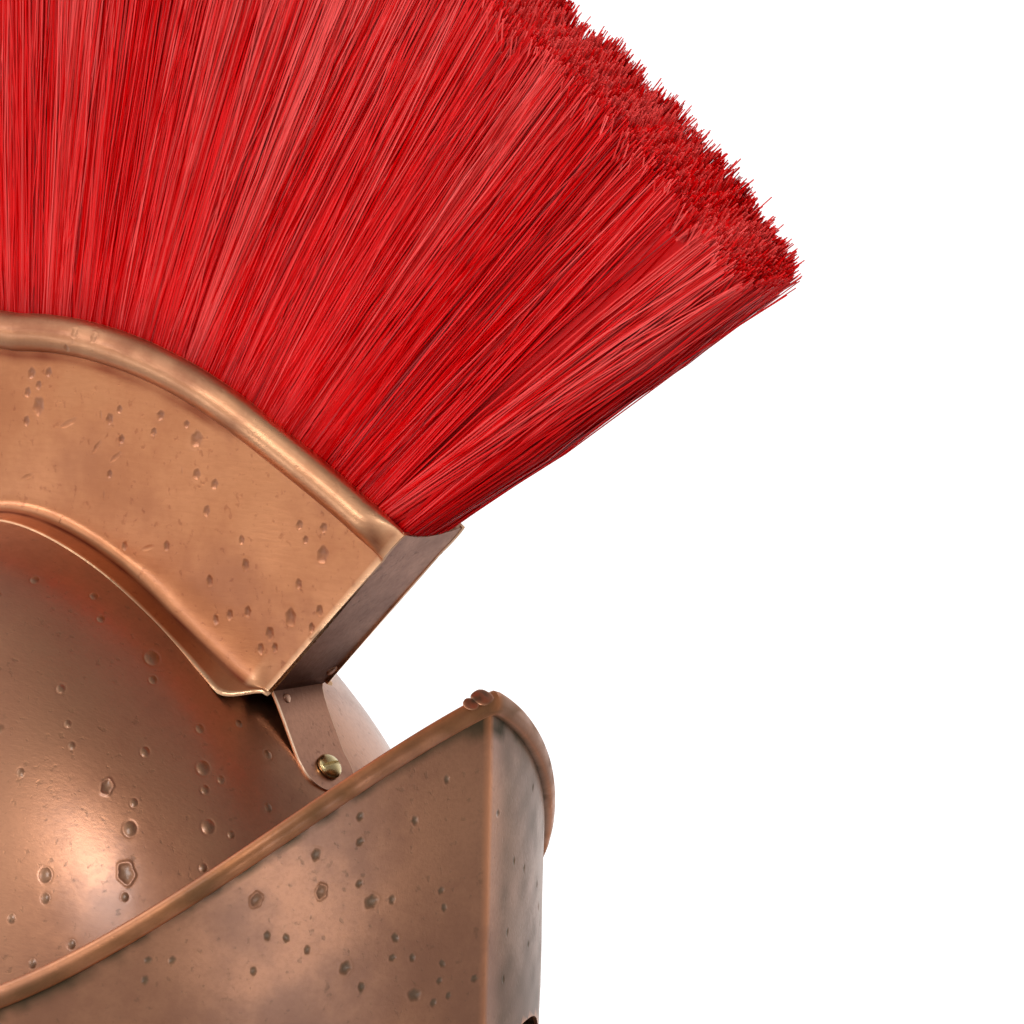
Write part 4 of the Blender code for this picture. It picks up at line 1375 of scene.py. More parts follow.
class DentWork:
    """Places dents on the helmet's sheets: charted ones and random ones."""

    def __init__(self, camera: PhotoCamera, charted: list[Dent]) -> None:
        """Keep the camera that the charted marks were read with."""
        self.camera = camera
        self.charted = charted
        self.pieces: dict[str, bpy.types.Mesh] = {}
        self.marks: dict[str, list[Mark]] = {}
        self.draw = np.random.default_rng(29)

    def add_sheet(self, name: str, mesh: bpy.types.Mesh) -> None:
        """Take in a sheet that can carry dents."""
        self.pieces[name] = mesh
        self.marks[name] = []

    def tangent(self, normal: Vector, turn: float) -> Vector:
        """Direction in a surface that looks turned by an angle in the photograph."""
        right, up, _ = self.camera.axes()
        lead = right * math.cos(math.radians(turn)) + up * math.sin(math.radians(turn))
        return (lead - normal * lead.dot(normal)).normalized()

    def chart(self) -> None:
        """Cast each charted mark from the camera on to the nearest sheet."""
        trees = {name: BVHTree.FromPolygons([vertex.co for vertex in mesh.vertices],
                                            [tuple(face.vertices) for face in mesh.polygons])
                 for name, mesh in self.pieces.items()}
        eye = self.camera.eye()
        for dent in self.charted:
            ray = self.camera.ray(dent.x, dent.y)
            hits = [(hit[3], name, hit) for name, tree in trees.items()
                    if (hit := tree.ray_cast(eye, ray))[0] is not None]
            if not hits:
                continue
            _, name, (point, normal, _, _) = min(hits, key=lambda item: item[0])
            if normal.dot(ray) > 0.0:
                normal = -normal
            self.marks[name].append(Mark(
                np.array(point), np.array(normal), np.array(self.tangent(normal, dent.turn)),
                dent.radius * MM, dent.depth * MM,
                STRETCH[dent.kind], dent.stain, dent.kind, CHARTED_DETAIL))

    def scatter(self, name: str, count: int, kinds: tuple[DentKind, ...],
                outward: np.ndarray | None = None) -> None:
        """Add random marks to the outer side of a sheet that the photograph misses.

        Args:
            name: the sheet.
            count: how many marks are tried.
            kinds: the kinds they are drawn from.
            outward: direction of the outer side, or none for away from the axis.
        """
        mesh = self.pieces[name]
        areas = np.array([face.area for face in mesh.polygons])
        eye = self.camera.eye()
        chosen = self.draw.choice(len(areas), count, p=areas / areas.sum())
        for index in chosen:
            face = mesh.polygons[int(index)]
            centre, normal = face.center.copy(), face.normal.copy()
            lead = Vector(outward) if outward is not None else Vector((centre.x, centre.y, 0.35 * max(centre.z - BASE_DEPTH, 0.0)))
            seen = (eye - centre).normalized().dot(normal) > 0.25 and self.in_picture(centre)
            if lead.normalized().dot(normal) < 0.35 or seen:
                continue
            kind = kinds[self.draw.integers(len(kinds))]
            radius = float(np.clip(self.draw.lognormal(0.35, 0.30), 0.9, 2.6)) * MM
            stretch = float(self.draw.choice([1.1, 1.2, 1.2, 1.7, 3.0]))
            turn = self.draw.normal(90.0, 35.0)
            self.marks[name].append(Mark(
                np.array(centre), np.array(normal), np.array(self.tangent(normal, turn)),
                radius if stretch < 1.5 else radius * 0.6, float(self.draw.uniform(0.14, 0.28)) * MM,
                stretch, float(self.draw.uniform(0.25, 0.7)), kind, SCATTERED_DETAIL))

    def in_picture(self, point: Vector) -> bool:
        """Whether a point lies inside the photograph's frame."""
        right, up, away = self.camera.axes()
        offset = point - self.camera.eye()
        scale = self.camera.distance * self.camera.pixels_per_metre / offset.dot(away)
        x = self.camera.centre_x + offset.dot(right) * scale
        y = self.camera.centre_y - offset.dot(up) * scale
        return 0.0 < x < self.camera.picture and 0.0 < y < self.camera.picture

    def press(self, name: str) -> bpy.types.Mesh:
        """Refine a sheet near its marks, press them in and note wear and stains."""
        mesh = self.pieces[name]
        shape = bmesh.new()
        shape.from_mesh(mesh)
        bmesh.ops.triangulate(shape, faces=shape.faces)
        shape.normal_update()
        wear = np.array([max((min(edge.calc_face_angle_signed(0.0) / 0.45, 1.0)
                              for edge in vertex.link_edges if len(edge.link_faces) == 2), default=0.0)
                         for vertex in shape.verts])
        shape.to_mesh(mesh)
        shape.free()
        points = read_points(mesh)
        normals = np.empty(len(points) * 3)
        mesh.vertices.foreach_get("normal", normals)
        triangles = np.empty(len(mesh.polygons) * 3, np.int32)
        mesh.polygons.foreach_get("vertices", triangles)
        normals, triangles = normals.reshape(-1, 3), triangles.reshape(-1, 3)
        marks = self.marks[name]
        stain = np.zeros(len(points))
        if marks:
            points, normals, wear, triangles = refine_near(points, normals, wear, triangles, marks)
            points, stain = press_marks(points, normals, marks)
        made = bpy.data.meshes.new(name)
        made.from_pydata(points.tolist(), [], triangles.tolist())
        write_attribute(made, "stain", stain)
        write_attribute(made, "wear", np.clip(wear, 0.0, 1.0))
        bpy.data.meshes.remove(mesh)
        self.pieces[name] = made
        log.info("%s: %d marks, %d triangles", name, len(marks), len(triangles))
        return made


# Finishes


class NodeDesk:
    """Short way of adding and joining nodes in one tree."""

    def __init__(self, tree: bpy.types.NodeTree) -> None:
        """Work on a node tree."""
        self.tree = tree

    def add(self, kind: str, **settings: object) -> bpy.types.Node:
        """Add a node; settings are its properties."""
        node = self.tree.nodes.new(kind)
        for name, value in settings.items():
            setattr(node, name, value)
        return node

    def join(self, source: object, target: bpy.types.NodeSocket) -> None:
        """Set a socket from a socket or a plain value."""
        if isinstance(source, bpy.types.NodeSocket):
            self.tree.links.new(source, target)
        else:
            target.default_value = source

    def math(self, operation: str, first: object, second: object = 0.0,
             clamp: bool = False) -> bpy.types.NodeSocket:
        """A sum, product or the like of two numbers."""
        node = self.add("ShaderNodeMath", operation=operation, use_clamp=clamp)
        self.join(first, node.inputs[0])
        self.join(second, node.inputs[1])
        return node.outputs[0]

    def remap(self, value: object, low: float, high: float, to_low: float = 0.0,
              to_high: float = 1.0) -> bpy.types.NodeSocket:
        """Map one range of numbers smoothly to another."""
        node = self.add("ShaderNodeMapRange", interpolation_type="SMOOTHSTEP")
        for index, source in enumerate((value, low, high, to_low, to_high)):
            self.join(source, node.inputs[index])
        return node.outputs[0]

    def blend(self, share: object, first: object, second: object) -> bpy.types.NodeSocket:
        """Mix two colours."""
        node = self.add("ShaderNodeMix", data_type="RGBA")
        self.join(share, node.inputs[0])
        self.join(first, node.inputs[6])
        self.join(second, node.inputs[7])
        return node.outputs[2]

    def noise(self, vector: object, scale: object, detail: float = 4.0,
              roughness: float = 0.55) -> bpy.types.NodeSocket:
        """Soft random values at places."""
        node = self.add("ShaderNodeTexNoise")
        self.join(vector, node.inputs["Vector"])
        self.join(scale, node.inputs["Scale"])
        node.inputs["Detail"].default_value = detail
        node.inputs["Roughness"].default_value = roughness
        return node.outputs["Fac"]

    def stored(self, name: str) -> bpy.types.NodeSocket:
        """A number stored on the mesh."""
        return self.add("ShaderNodeAttribute", attribute_name=name).outputs["Fac"]


def colour(*rgb: float) -> tuple[float, float, float, float]:
    """A colour given as 0 to 255 screen values, as the shader's own values."""
    linear = [(value / 255.0) ** 2.2 for value in rgb]
    return (*linear, 1.0)


def node_group(name: str, inputs: dict[str, str], outputs: dict[str, str]) -> tuple[
        bpy.types.NodeTree, NodeDesk, bpy.types.Node, bpy.types.Node]:
    """Make an empty shader node group with named sockets.

    Args:
        name: the group's name.
        inputs: names and socket types that go in.
        outputs: names and socket types that come out.

    Returns:
        The group, a desk for it, and its input and output nodes.
    """
    group = bpy.data.node_groups.new(name, "ShaderNodeTree")
    for label, kind in inputs.items():
        group.interface.new_socket(name=label, in_out="INPUT", socket_type=kind)
    for label, kind in outputs.items():
        group.interface.new_socket(name=label, in_out="OUTPUT", socket_type=kind)
    desk = NodeDesk(group)
    return group, desk, desk.add("NodeGroupInput"), desk.add("NodeGroupOutput")


NUMBER, VECTOR, COLOUR = "NodeSocketFloat", "NodeSocketVector", "NodeSocketColor"


def patina_group() -> bpy.types.NodeTree:
    """Cloudy patches, small specks and streaks that an antiqued copper shows."""
    group, desk, given, out = node_group(
        "patina", {"Vector": VECTOR, "Patch Scale": NUMBER, "Speck Scale": NUMBER},
        {"Patches": NUMBER, "Specks": NUMBER})
    patches = desk.noise(given.outputs["Vector"], given.outputs["Patch Scale"], 6.0, 0.62)
    desk.join(desk.remap(patches, 0.34, 0.68), out.inputs["Patches"])
    specks = desk.noise(given.outputs["Vector"], given.outputs["Speck Scale"], 3.0, 0.5)
    desk.join(desk.remap(specks, 0.60, 0.74), out.inputs["Specks"])
    return group


def grain_group() -> bpy.types.NodeTree:
    """Fine brushing that runs along one direction."""
    group, desk, given, out = node_group(
        "brushed_grain", {"Vector": VECTOR, "Stretch": VECTOR, "Scale": NUMBER}, {"Grain": NUMBER})
    stretched = desk.add("ShaderNodeVectorMath", operation="MULTIPLY")
    desk.join(given.outputs["Vector"], stretched.inputs[0])
    desk.join(given.outputs["Stretch"], stretched.inputs[1])
    fine = desk.noise(stretched.outputs[0], given.outputs["Scale"], 3.0, 0.6)
    desk.join(fine, out.inputs["Grain"])
    return group


def ageing_group() -> bpy.types.NodeTree:
    """Lays grime and painted shade, dent stains and edge wear over a metal colour."""
    group, desk, given, out = node_group(
        "ageing", {"Base": COLOUR, "Grime": NUMBER, "Grime Colour": COLOUR, "Stain": NUMBER,
                   "Stain Colour": COLOUR, "Wear": NUMBER, "Wear Colour": COLOUR}, {"Colour": COLOUR})
    grimy = desk.blend(given.outputs["Grime"], given.outputs["Base"], given.outputs["Grime Colour"])
    stained = desk.blend(given.outputs["Stain"], grimy, given.outputs["Stain Colour"])
    worn = desk.blend(given.outputs["Wear"], stained, given.outputs["Wear Colour"])
    desk.join(worn, out.inputs["Colour"])
    return group


@dataclass(frozen=True)
class CopperFinish:
    """One antiqued copper or brass finish.

    The colours are screen values. stretch is how the brushing is drawn out
    along the row axes: a small number makes long streaks that way.
    """

    name: str
    light: tuple[float, float, float]
    dark: tuple[float, float, float]
    stain: tuple[float, float, float]
    wear: tuple[float, float, float]
    # grime is the colour of grime and specks, and also of the painted shade that a sheet's stored darkening carries
    grime: tuple[float, float, float]
    roughness: tuple[float, float] = (0.34, 0.48)
    coat: float = 0.5
    stretch: tuple[float, float, float] = (1.0, 0.18, 1.0)
    grain_scale: float = 900.0
    grain_depth: float = 0.00006
    patch_scale: float = 24.0
    speck_scale: float = 420.0

    def build(self, groups: dict[str, bpy.types.NodeTree]) -> bpy.types.Material:
        """Make the material from the shared groups."""
        made = bpy.data.materials.new(self.name)
        made.use_nodes = True
        desk = NodeDesk(made.node_tree)
        shader = made.node_tree.nodes["Principled BSDF"]
        place = desk.add("ShaderNodeTexCoord").outputs["Object"]
        patina = desk.add("ShaderNodeGroup", node_tree=groups["patina"])
        desk.join(place, patina.inputs["Vector"])
        desk.join(self.patch_scale, patina.inputs["Patch Scale"])
        desk.join(self.speck_scale, patina.inputs["Speck Scale"])
        grain = desk.add("ShaderNodeGroup", node_tree=groups["grain"])
        desk.join(place, grain.inputs["Vector"])
        desk.join(self.stretch, grain.inputs["Stretch"])
        desk.join(self.grain_scale, grain.inputs["Scale"])
        patches, specks = patina.outputs["Patches"], patina.outputs["Specks"]
        base = desk.blend(patches, colour(*self.light), colour(*self.dark))
        streaked = desk.math("MULTIPLY", desk.remap(grain.outputs["Grain"], 0.42, 0.66), 0.22)
        base = desk.blend(streaked, base, colour(*self.dark))
        ageing = desk.add("ShaderNodeGroup", node_tree=groups["ageing"])
        # The stored grime number carries painted shade as well as grime
        stain, wear, grime = desk.stored("stain"), desk.stored("wear"), desk.stored("grime")
        broken = desk.math("MULTIPLY", wear, desk.remap(patches, 0.0, 1.0, 1.0, 0.55))
        speck_grime_and_shade = desk.math("MAXIMUM", grime, desk.math("MULTIPLY", specks, 0.30))
        for source, name in ((base, "Base"), (speck_grime_and_shade, "Grime"), (colour(*self.grime), "Grime Colour"),
                             (stain, "Stain"),
                             (colour(*self.stain), "Stain Colour"), (broken, "Wear"),
                             (colour(*self.wear), "Wear Colour")):
            desk.join(source, ageing.inputs[name])
        desk.join(ageing.outputs["Colour"], shader.inputs["Base Color"])
        shader.inputs["Metallic"].default_value = 1.0
        desk.join(desk.math("MULTIPLY", desk.math("SUBTRACT", 1.0, speck_grime_and_shade), self.coat),
                  shader.inputs["Coat Weight"])
        shader.inputs["Coat Roughness"].default_value = 0.26
        shader.inputs["Coat IOR"].default_value = 1.8
        smooth, rough = self.roughness
        uneven = desk.remap(desk.math("ADD", patches, grain.outputs["Grain"]), 0.4, 1.5, smooth, rough)
        dull = desk.math("ADD", uneven, desk.math("MULTIPLY", desk.math("MAXIMUM", stain, speck_grime_and_shade), 0.16))
        desk.join(desk.math("SUBTRACT", dull, desk.math("MULTIPLY", wear, 0.06)), shader.inputs["Roughness"])
        bump = desk.add("ShaderNodeBump")
        bump.inputs["Strength"].default_value = 1.0
        bump.inputs["Distance"].default_value = self.grain_depth
        height = desk.math("SUBTRACT", grain.outputs["Grain"], desk.math("MULTIPLY", specks, 0.6))
        desk.join(height, bump.inputs["Height"])
        desk.join(bump.outputs["Normal"], shader.inputs["Normal"])
        return made


@dataclass(frozen=True)
class BristleFinish:
    """Red bristle: each strand has its own tone, which also carries painted shade and light, with painted shade at
    its root and painted light towards its cut end.
    """

    name: str = "red_bristle_loose"
    # deep is also the painted shade at the roots; bright is also the painted light towards the cut ends
    deep: tuple[float, float, float] = (150, 2, 10)
    middle: tuple[float, float, float] = (244, 6, 14)
    bright: tuple[float, float, float] = (255, 84, 80)

    def build(self) -> bpy.types.Material:
        """Make the material."""
        made = bpy.data.materials.new(self.name)
        made.use_nodes = True
        desk = NodeDesk(made.node_tree)
        shader = made.node_tree.nodes["Principled BSDF"]
        tint, reach = desk.stored("tint"), desk.stored("reach")
        low = desk.blend(desk.remap(tint, 0.0, 0.45), colour(*self.deep), colour(*self.middle))
        # Painted light: strands grow brighter towards their cut ends
        lit_towards_tips = desk.math("ADD", tint, desk.remap(reach, 0.25, 0.95, -0.08, 0.14))
        tone = desk.blend(desk.remap(lit_towards_tips, 0.62, 1.1), low, colour(*self.bright))
        # Painted shade: the roots darken where they go into the box
        shaded_at_roots = desk.blend(desk.remap(reach, 0.0, 0.16, 0.55, 0.0), tone, colour(*self.deep))
        desk.join(shaded_at_roots, shader.inputs["Base Color"])
        shader.inputs["Roughness"].default_value = 0.36
        shader.inputs["Specular IOR Level"].default_value = 0.30
        return made


# Studio


@dataclass
class Studio:
    """Pale floor and soft lights."""

    camera: PhotoCamera

    def light(self, name: str, azimuth: float, elevation: float, distance: float,
              size: tuple[float, float], power: float, mirrored: bool = True) -> None:
        """Add a soft light that faces the helmet.

        Args:
            name: name of the light.
            azimuth: degrees from the camera's direction, positive to its right.
            elevation: degrees above the horizon.
            distance: metres from the helmet.
            size: width and height in metres.
            power: watts.
            mirrored: whether metal shows its reflection; a fill light does not.
        """
        source = bpy.data.lights.new(name, "AREA")
        source.shape = "RECTANGLE"
        source.size, source.size_y = size
        source.energy = power
        lamp = bpy.data.objects.new(name, source)
        bpy.context.scene.collection.objects.link(lamp)
        right, _, _ = self.camera.axes()
        towards = Vector((-right.y, right.x, 0.0)) * -1.0
        turn = math.radians(azimuth)
        level = towards * math.cos(turn) + right * math.sin(turn)
        rise = math.radians(elevation)
        direction = level * math.cos(rise) + Vector((0.0, 0.0, math.sin(rise)))
        middle = Vector((0.0, 0.0, 0.25))
        lamp.location = middle + direction * distance
        lamp.visible_camera = False
        lamp.visible_glossy = mirrored
        lamp.rotation_mode = "QUATERNION"
        lamp.rotation_quaternion = direction.to_track_quat("Z", "Y")

    def along(self, desk: NodeDesk, place: bpy.types.NodeSocket,
              direction: Vector) -> bpy.types.NodeSocket:
        """How far a place or direction reaches along another direction."""
        lead = desk.add("ShaderNodeVectorMath", operation="DOT_PRODUCT")
        desk.join(place, lead.inputs[0])
        lead.inputs[1].default_value = direction
        return lead.outputs["Value"]

    def pool(self, desk: NodeDesk, place: bpy.types.NodeSocket, middle: Vector,
             inner: float, outer: float) -> bpy.types.NodeSocket:
        """A soft round spot on the floor: 1 inside, 0 outside."""
        apart = desk.add("ShaderNodeVectorMath", operation="DISTANCE")
        desk.join(place, apart.inputs[0])
        apart.inputs[1].default_value = middle
        return desk.remap(apart.outputs["Value"], inner, outer, 1.0, 0.0)

    def floor(self) -> None:
        """A wide pale floor whose emission paints light on it: it glows more behind the helmet and to the left, with
        painted pools of light in front and to the left and a painted shaded spot behind on the right.
        """
        parts = MeshParts()
        turn = np.linspace(0.0, 2.0 * np.pi, 96, endpoint=False)
        rings = [np.stack([radius * np.cos(turn), radius * np.sin(turn), 0.0 * turn], axis=-1)
                 for radius in (0.6, 1.6, 4.0, 16.0)]
        points = np.concatenate([*rings, [[0.0, 0.0, 0.0]]])
        faces: list[tuple[int, ...]] = []
        for side in range(96):
            after = (side + 1) % 96
            faces.append((96 * 4, side, after))
            for ring in range(3):
                faces.append((ring * 96 + side, ring * 96 + 96 + side, ring * 96 + 96 + after,
                              ring * 96 + after))
        parts.add(points, faces)
        made = bpy.data.materials.new("pale_floor")
        made.use_nodes = True
        desk = NodeDesk(made.node_tree)
        shader = made.node_tree.nodes["Principled BSDF"]
        shader.inputs["Base Color"].default_value = (0.42, 0.42, 0.42, 1.0)
        shader.inputs["Roughness"].default_value = 0.9
        shader.inputs["Specular IOR Level"].default_value = 0.1
        place = desk.add("ShaderNodeTexCoord").outputs["Object"]
        right, _, away = self.camera.axes()
        level = Vector((away.x, away.y, 0.0)).normalized()
        behind = desk.remap(self.along(desk, place, level), 0.0, 0.66)
        leftward = desk.remap(self.along(desk, place, -right), 0.1, 1.3, 0.0, 0.36)
        # Painted light and shade on the floor: a darker spot behind on the right, and brighter pools in front and to
        # the left, so that the metal reflects them
        shade = self.pool(desk, place, right * 0.95 + level * 0.55, 0.15, 0.50)
        backed = desk.math("MULTIPLY", behind, desk.math("SUBTRACT", 1.0, shade))
        front = desk.math("MULTIPLY", self.pool(desk, place, right * 0.50 - level * 0.98, 0.10, 0.48), 3.4)
        beside = desk.math("MULTIPLY", self.pool(desk, place, right * -1.35 - level * 0.28, 0.1, 0.60), 2.4)
        glow = desk.math("MAXIMUM", desk.math("MAXIMUM", backed, leftward), desk.math("MAXIMUM", front, beside))
        desk.join(desk.math("MULTIPLY", glow, 0.95), shader.inputs["Emission Color"])
        shader.inputs["Emission Strength"].default_value = 1.0
        made.cycles.emission_sampling = "NONE"
        floor = link_piece("floor", parts.build("floor"), made)

    def sky(self) -> None:
        """Room light: bright behind the helmet, dim around the camera."""
        world = bpy.data.worlds.new("studio_room")
        bpy.context.scene.world = world
        world.use_nodes = True
        desk = NodeDesk(world.node_tree)
        right, _, away = self.camera.axes()
        place = desk.add("ShaderNodeTexCoord").outputs["Generated"]
        level = Vector((away.x, away.y, 0.0)).normalized()
        low = desk.remap(self.along(desk, place, Vector((0.0, 0.0, 1.0))), 0.25, 1.0, 1.0, 0.0)
        behind = desk.remap(self.along(desk, place, level), -0.15, 0.75)
        leftward = desk.remap(self.along(desk, place, -right), 0.1, 0.7, 0.0, 0.62)
        glow = desk.math("MAXIMUM", desk.math("MULTIPLY", behind, low), leftward)
        background = world.node_tree.nodes["Background"]
        desk.join(desk.blend(glow, (0.30, 0.29, 0.29, 1.0), (1.05, 1.05, 1.05, 1.0)),
                  background.inputs["Color"])
        background.inputs["Strength"].default_value = 1.0
        world.cycles.sampling_method = "NONE"

    def build(self) -> None:
        """Floor, room and lights."""
        self.floor()
        self.sky()
        self.light("key_soft", -12.0, 30.0, 2.2, (0.56, 0.64), 8.3)
        self.light("left_soft", -84.0, 17.0, 2.4, (0.9, 0.50), 7.2)
        self.light("left_tall", -86.0, 42.0, 2.4, (1.4, 1.3), 4.8)
        self.light("left_low", -58.0, 17.0, 2.2, (0.5, 0.36), 2.4)
        self.light("side_fill", -6.0, 20.0, 1.15, (0.5, 0.5), 1.1, mirrored=False)
        self.light("tip_fill", 62.0, 48.0, 2.4, (1.4, 1.4), 25.0, mirrored=False)
        bpy.context.scene.view_settings.view_transform = "Standard"
        # Long thin bristles render slowly: these save time and change little that shows
        cycles = bpy.context.scene.cycles
        cycles.debug_use_spatial_splits = True
        cycles.max_bounces, cycles.diffuse_bounces = 3, 1


# Marks read from the photograph: place in the picture, radius in millimetres

BOX_PITS = (
    # x, y, radius
    (74, 332, 1.4), (93, 337, 1.3), (66, 348, 1.1), (31, 373, 1.5), (48, 372, 1.3), (38, 385, 1.2),
    (27, 392, 1.3), (38, 406, 2.3), (26, 421, 1.3), (109, 419, 1.5), (119, 409, 1.1), (160, 415, 1.4),
    (153, 432, 1.2), (186, 424, 1.1), (196, 439, 2.2), (121, 439, 1.2), (196, 474, 1.5), (109, 474, 1.1),
    (214, 484, 1.4), (206, 511, 1.4), (124, 546, 1.2), (166, 546, 1.3), (209, 581, 1.4), (245, 565, 1.5),
    (241, 540, 1.2), (229, 615, 1.3), (247, 612, 1.4), (269, 634, 1.7), (260, 649, 1.3), (274, 648, 1.2),
    (290, 618, 2.2), (299, 525, 1.3), (323, 528, 1.4), (305, 540, 1.1), (322, 555, 2.2), (298, 584, 1.3),
    (319, 611, 1.4), (311, 628, 1.2), (215, 620, 1.2),
)
BOX_SCRATCHES = (
    # x, y, half width, direction in degrees
    (68, 423, 1.0, 20), (96, 447, 0.8, 40), (115, 457, 0.8, 30), (26, 477, 0.8, 20), (147, 548, 0.8, 15),
    (100, 415, 0.45, 88), (181, 471, 0.40, 80), (103, 496, 0.45, 84), (60, 520, 0.35, 75), (276, 590, 0.35, 98),
)
DOME_BLISTERS = (
    (34, 580, 1.6), (93, 596, 1.5), (100, 619, 1.4), (151, 658, 2.6), (152, 680, 1.5), (60, 689, 1.6),
    (67, 724, 1.3), (71, 746, 1.3), (20, 773, 1.5), (144, 752, 1.7), (199, 729, 1.5), (238, 724, 1.3),
    (202, 768, 2.3), (204, 790, 1.5), (220, 780, 1.3), (267, 755, 1.5), (267, 808, 1.5), (129, 829, 2.3),
    (207, 827, 2.3), (230, 835, 1.3), (133, 803, 1.4), (45, 875, 2.2), (202, 868, 1.4), (45, 898, 1.6),
    (124, 897, 1.4), (11, 918, 1.5), (71, 944, 1.4), (32, 963, 1.4),
)
PLATE_PITS = (
    (359, 817, 1.4), (359, 842, 1.4), (315, 855, 1.8), (358, 884, 1.3), (370, 902, 2.3), (391, 900, 1.4),
    (440, 891, 1.3), (443, 908, 1.3), (394, 938, 1.5), (391, 958, 1.3), (411, 958, 1.3), (344, 968, 2.1),
    (360, 987, 1.4), (413, 995, 2.3), (432, 1003, 1.4), (441, 964, 1.3), (438, 981, 1.2), (473, 979, 1.4),
    (447, 996, 1.2), (446, 780, 1.3), (414, 821, 1.4), (266, 936, 1.4), (285, 938, 1.3), (147, 960, 1.3),
    (171, 960, 1.3), (144, 980, 1.4), (306, 950, 1.3), (252, 971, 1.3), (497, 814, 1.3), (513, 862, 1.4),
    (536, 885, 1.3), (506, 933, 1.4), (527, 945, 1.3), (502, 980, 1.3),
)
RINGS = ((320, 892, 1.5), (255, 900, 1.5), (125, 873, 2.3), (106, 787, 1.7))


def charted_dents() -> list[Dent]:
    """The marks of the photograph, each with a depth that suits its size."""
    made = [Dent(x, y, radius, 0.08 + radius * 0.09, 0.50) for x, y, radius in BOX_PITS]
    made += [Dent(x, y, radius * 0.85, 0.08 + radius * 0.08, 0.75) for x, y, radius in PLATE_PITS]
    made += [Dent(x, y, radius * 0.82, 0.08 + radius * 0.10, 0.55, DentKind.BLISTER)
             for x, y, radius in DOME_BLISTERS]
    made += [Dent(x, y, radius, 0.24, 0.5, DentKind.RING) for x, y, radius in RINGS]
    made += [Dent(x, y, radius, 0.12, 0.15, DentKind.SCRATCH, turn)
             for x, y, radius, turn in BOX_SCRATCHES]
    return made


# Putting the helmet together

ANTIQUE_COPPER = CopperFinish(
    "antique_copper_wall", light=(196, 126, 80), dark=(170, 102, 60), stain=(104, 54, 34),
    wear=(250, 196, 150), grime=(116, 50, 36), coat=0.45, roughness=(0.29, 0.42))
DARK_COPPER = CopperFinish(
    "dark_copper_sheet", light=(188, 128, 92), dark=(158, 104, 74), stain=(96, 80, 56),
    wear=(230, 148, 98), grime=(84, 76, 60), coat=0.62)
STRAP_COPPER = CopperFinish(
    "dark_copper_strap", light=(206, 146, 116), dark=(164, 110, 86), stain=(70, 56, 40),
    wear=(250, 210, 176), grime=(72, 42, 32), coat=0.4)
AGED_BRASS = CopperFinish(
    "aged_brass_turned", light=(226, 202, 144), dark=(176, 146, 90), stain=(90, 70, 40),
    wear=(250, 232, 190), grime=(96, 76, 46), roughness=(0.24, 0.34), stretch=(1.0, 1.0, 1.0),
    grain_scale=500.0)


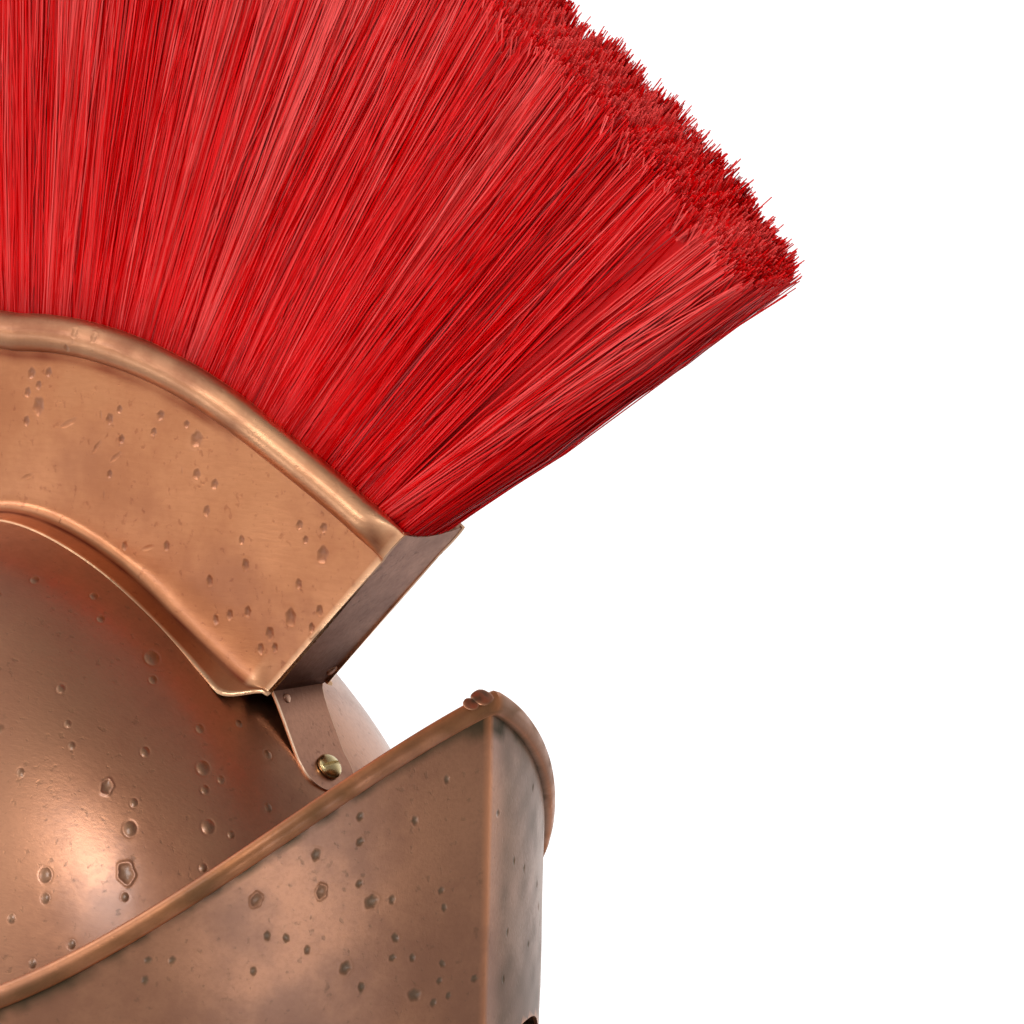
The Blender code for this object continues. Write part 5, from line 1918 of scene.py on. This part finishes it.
@dataclass
class Helmet:
    """All the pieces of the helmet and the order in which they are made."""

    camera: PhotoCamera
    dome: DomeShape = field(default_factory=DomeShape)

    def __post_init__(self) -> None:
        """Work out the pieces that share the dome's and the box's lines."""
        self.box = BoxShape(self.dome)
        self.plate = PlatePiece(self.dome)
        self.guard = GuardPiece(self.dome)
        groups = {"patina": patina_group(), "grain": grain_group(), "ageing": ageing_group()}
        self.copper = ANTIQUE_COPPER.build(groups)
        self.dark = DARK_COPPER.build(groups)
        self.strap = STRAP_COPPER.build(groups)
        self.brass = AGED_BRASS.build(groups)
        self.bristle = BristleFinish().build()

    def sheets(self) -> None:
        """Dented sheets: skull, plate, guard and the walls of the crest box."""
        work = DentWork(self.camera, charted_dents())
        work.add_sheet("skull_sheet", SkullPiece(self.dome).mesh())
        work.add_sheet("face_plate_sheet", self.plate.mesh())
        work.add_sheet("neck_guard_sheet", self.guard.mesh())
        for side in Face:
            work.add_sheet(f"crest_wall_{side.name.lower()}", WallPiece(self.box, side).mesh())
        work.chart()
        dome_kinds = (DentKind.BLISTER, DentKind.BLISTER, DentKind.PIT, DentKind.RING)
        work.scatter("skull_sheet", 190, dome_kinds)
        work.scatter("face_plate_sheet", 190, (DentKind.PIT,))
        work.scatter("neck_guard_sheet", 150, (DentKind.PIT, DentKind.BLISTER))
        work.scatter("crest_wall_left", 130, (DentKind.PIT,), np.array([1.0, 0.0, 0.0]))
        work.scatter("crest_wall_right", 130, (DentKind.PIT,), np.array([-1.0, 0.0, 0.0]))
        dressed = {"skull_sheet": (self.dark, "dark_copper", "skull"),
                   "face_plate_sheet": (self.dark, "dark_copper", "face_plate"),
                   "neck_guard_sheet": (self.dark, "dark_copper", "neck_guard"),
                   "crest_wall_left": (self.copper, "antique_copper", "crest_box"),
                   "crest_wall_right": (self.copper, "antique_copper", "crest_box")}
        for name, (finish, slot, node) in dressed.items():
            mesh = work.press(name)
            write_attribute(mesh, "grime", self.grime(name, read_points(mesh)))
            stand_for(link_piece(name, mesh, finish), slot, node)

    def grime(self, name: str, points: np.ndarray) -> np.ndarray:
        """How much grime and painted shade darken each point of a sheet, 0 to 1."""
        forward, up = -points[:, 1], points[:, 2] - BASE_DEPTH
        uneven = 0.5 + 0.5 * ripple(points, 0.012, 8)
        if name.startswith("face_plate"):
            below = self.plate.rim_level(forward) - up
            # A ragged darker band under the rolled rim, partly patina and partly a painted reflection of the dim
            # room in the fillet
            ragged = 0.0014 * ripple(points, 0.006, 6) + 0.006 * np.exp(-(points[:, 0] / 0.012) ** 2)
            band = smooth_step((below - 0.0030) / 0.0018) * smooth_step((0.0120 + ragged - below) / 0.005)
            # Painted shade: the plate's far side beyond the ridge is darkened because it reflects darker
            # surroundings
            far = smooth_step((points[:, 0] - 0.001) / 0.012) * smooth_step(forward / 0.08) * 0.62
            return np.clip(np.maximum(band * (0.75 + 0.35 * uneven), far * (0.8 + 0.2 * uneven)), 0.0, 1.0)
        if name.startswith("skull"):
            # Darker towards the lower edge
            skirt = smooth_step((0.03 - up) / 0.03)
            return 0.45 * skirt * uneven
        if name.startswith("crest_wall"):
            share, high = self.box.place_on(forward, up)
            out = np.abs(points[:, 0]) - self.box.width / 2
            # Painted shade: darker along the crease between wall and flange, in a line under the bead and over the
            # bead's upper side
            crease = np.exp(-((out - 0.0028) / 0.0006) ** 2) * smooth_step((0.004 - high) / 0.002) * 0.85
            bead = self.box.height(share) - self.box.bead_height
            beneath = np.exp(-((high - bead + 0.0010) / 0.0018) ** 2) * 0.75
            above = smooth_step((high - bead - 0.0042) / 0.003) * 0.9
            return np.clip(np.max([crease, beneath, above], axis=0) * (0.7 + 0.5 * uneven), 0.0, 1.0)
        return 0.0 * up

    def solder(self) -> None:
        """Blobs of solder on the strap's corners and on the rim's peak."""
        for node, finish, slot, names in (
                ("crest_box", self.strap, "antique_copper", ("crest_end_front",)),
                ("face_plate", self.dark, "dark_copper", ("face_plate_sheet",))):
            mesh = solder_mesh(self.camera, node, [bpy.data.objects[name].data for name in names])
            uneven = 0.5 + 0.5 * ripple(read_points(mesh), 0.0025, 4)
            write_attribute(mesh, "wear", np.clip(uneven, 0.0, 1.0) * 0.4)
            write_attribute(mesh, "grime", np.clip(0.5 - 0.8 * uneven, 0.0, 1.0))
            stand_for(link_piece(mesh.name, mesh, finish, 60.0), slot, node)

    def crest_ends(self) -> None:
        """End plates with their straps."""
        for end, name in ((1, "crest_end_front"), (-1, "crest_end_rear")):
            piece = link_piece(name, EndPiece(self.box, end).mesh(), self.strap)
            stand_for(piece, "antique_copper", "crest_box")

    def fasteners(self) -> None:
        """Screws and rivets."""
        for screw in screws(self.box):
            stand_for(link_piece(screw.name + "_head", screw.mesh(), self.brass), "aged_brass", screw.name)
        for rivet in rivets(self.dome, self.plate, self.guard):
            stand_for(link_piece(rivet.name + "_head", rivet.mesh(), self.dark), "dark_copper", rivet.name)

    def bristles(self) -> None:
        """The fan of bristles."""
        fan = BristleFan(self.box)
        meshes = [fan.core_mesh(), fan.side_mesh(Face.LEFT), fan.side_mesh(Face.RIGHT),
                  fan.end_mesh(1), fan.end_mesh(-1), fan.cut_end_mesh()]
        for mesh in meshes:
            stand_for(link_piece(mesh.name, mesh, self.bristle, 80.0), "red_bristle", "bristle_crest")

    def build(self) -> None:
        """Make every piece."""
        self.sheets()
        self.crest_ends()
        self.solder()
        self.fasteners()
        self.bristles()


def main() -> None:
    """Build the camera, the studio and the helmet."""
    logging.basicConfig(level=logging.INFO, format="%(name)s: %(message)s")
    camera = PhotoCamera()
    camera.build()
    Studio(camera).build()
    Helmet(camera).build()


if __name__ == "__main__":
    main()
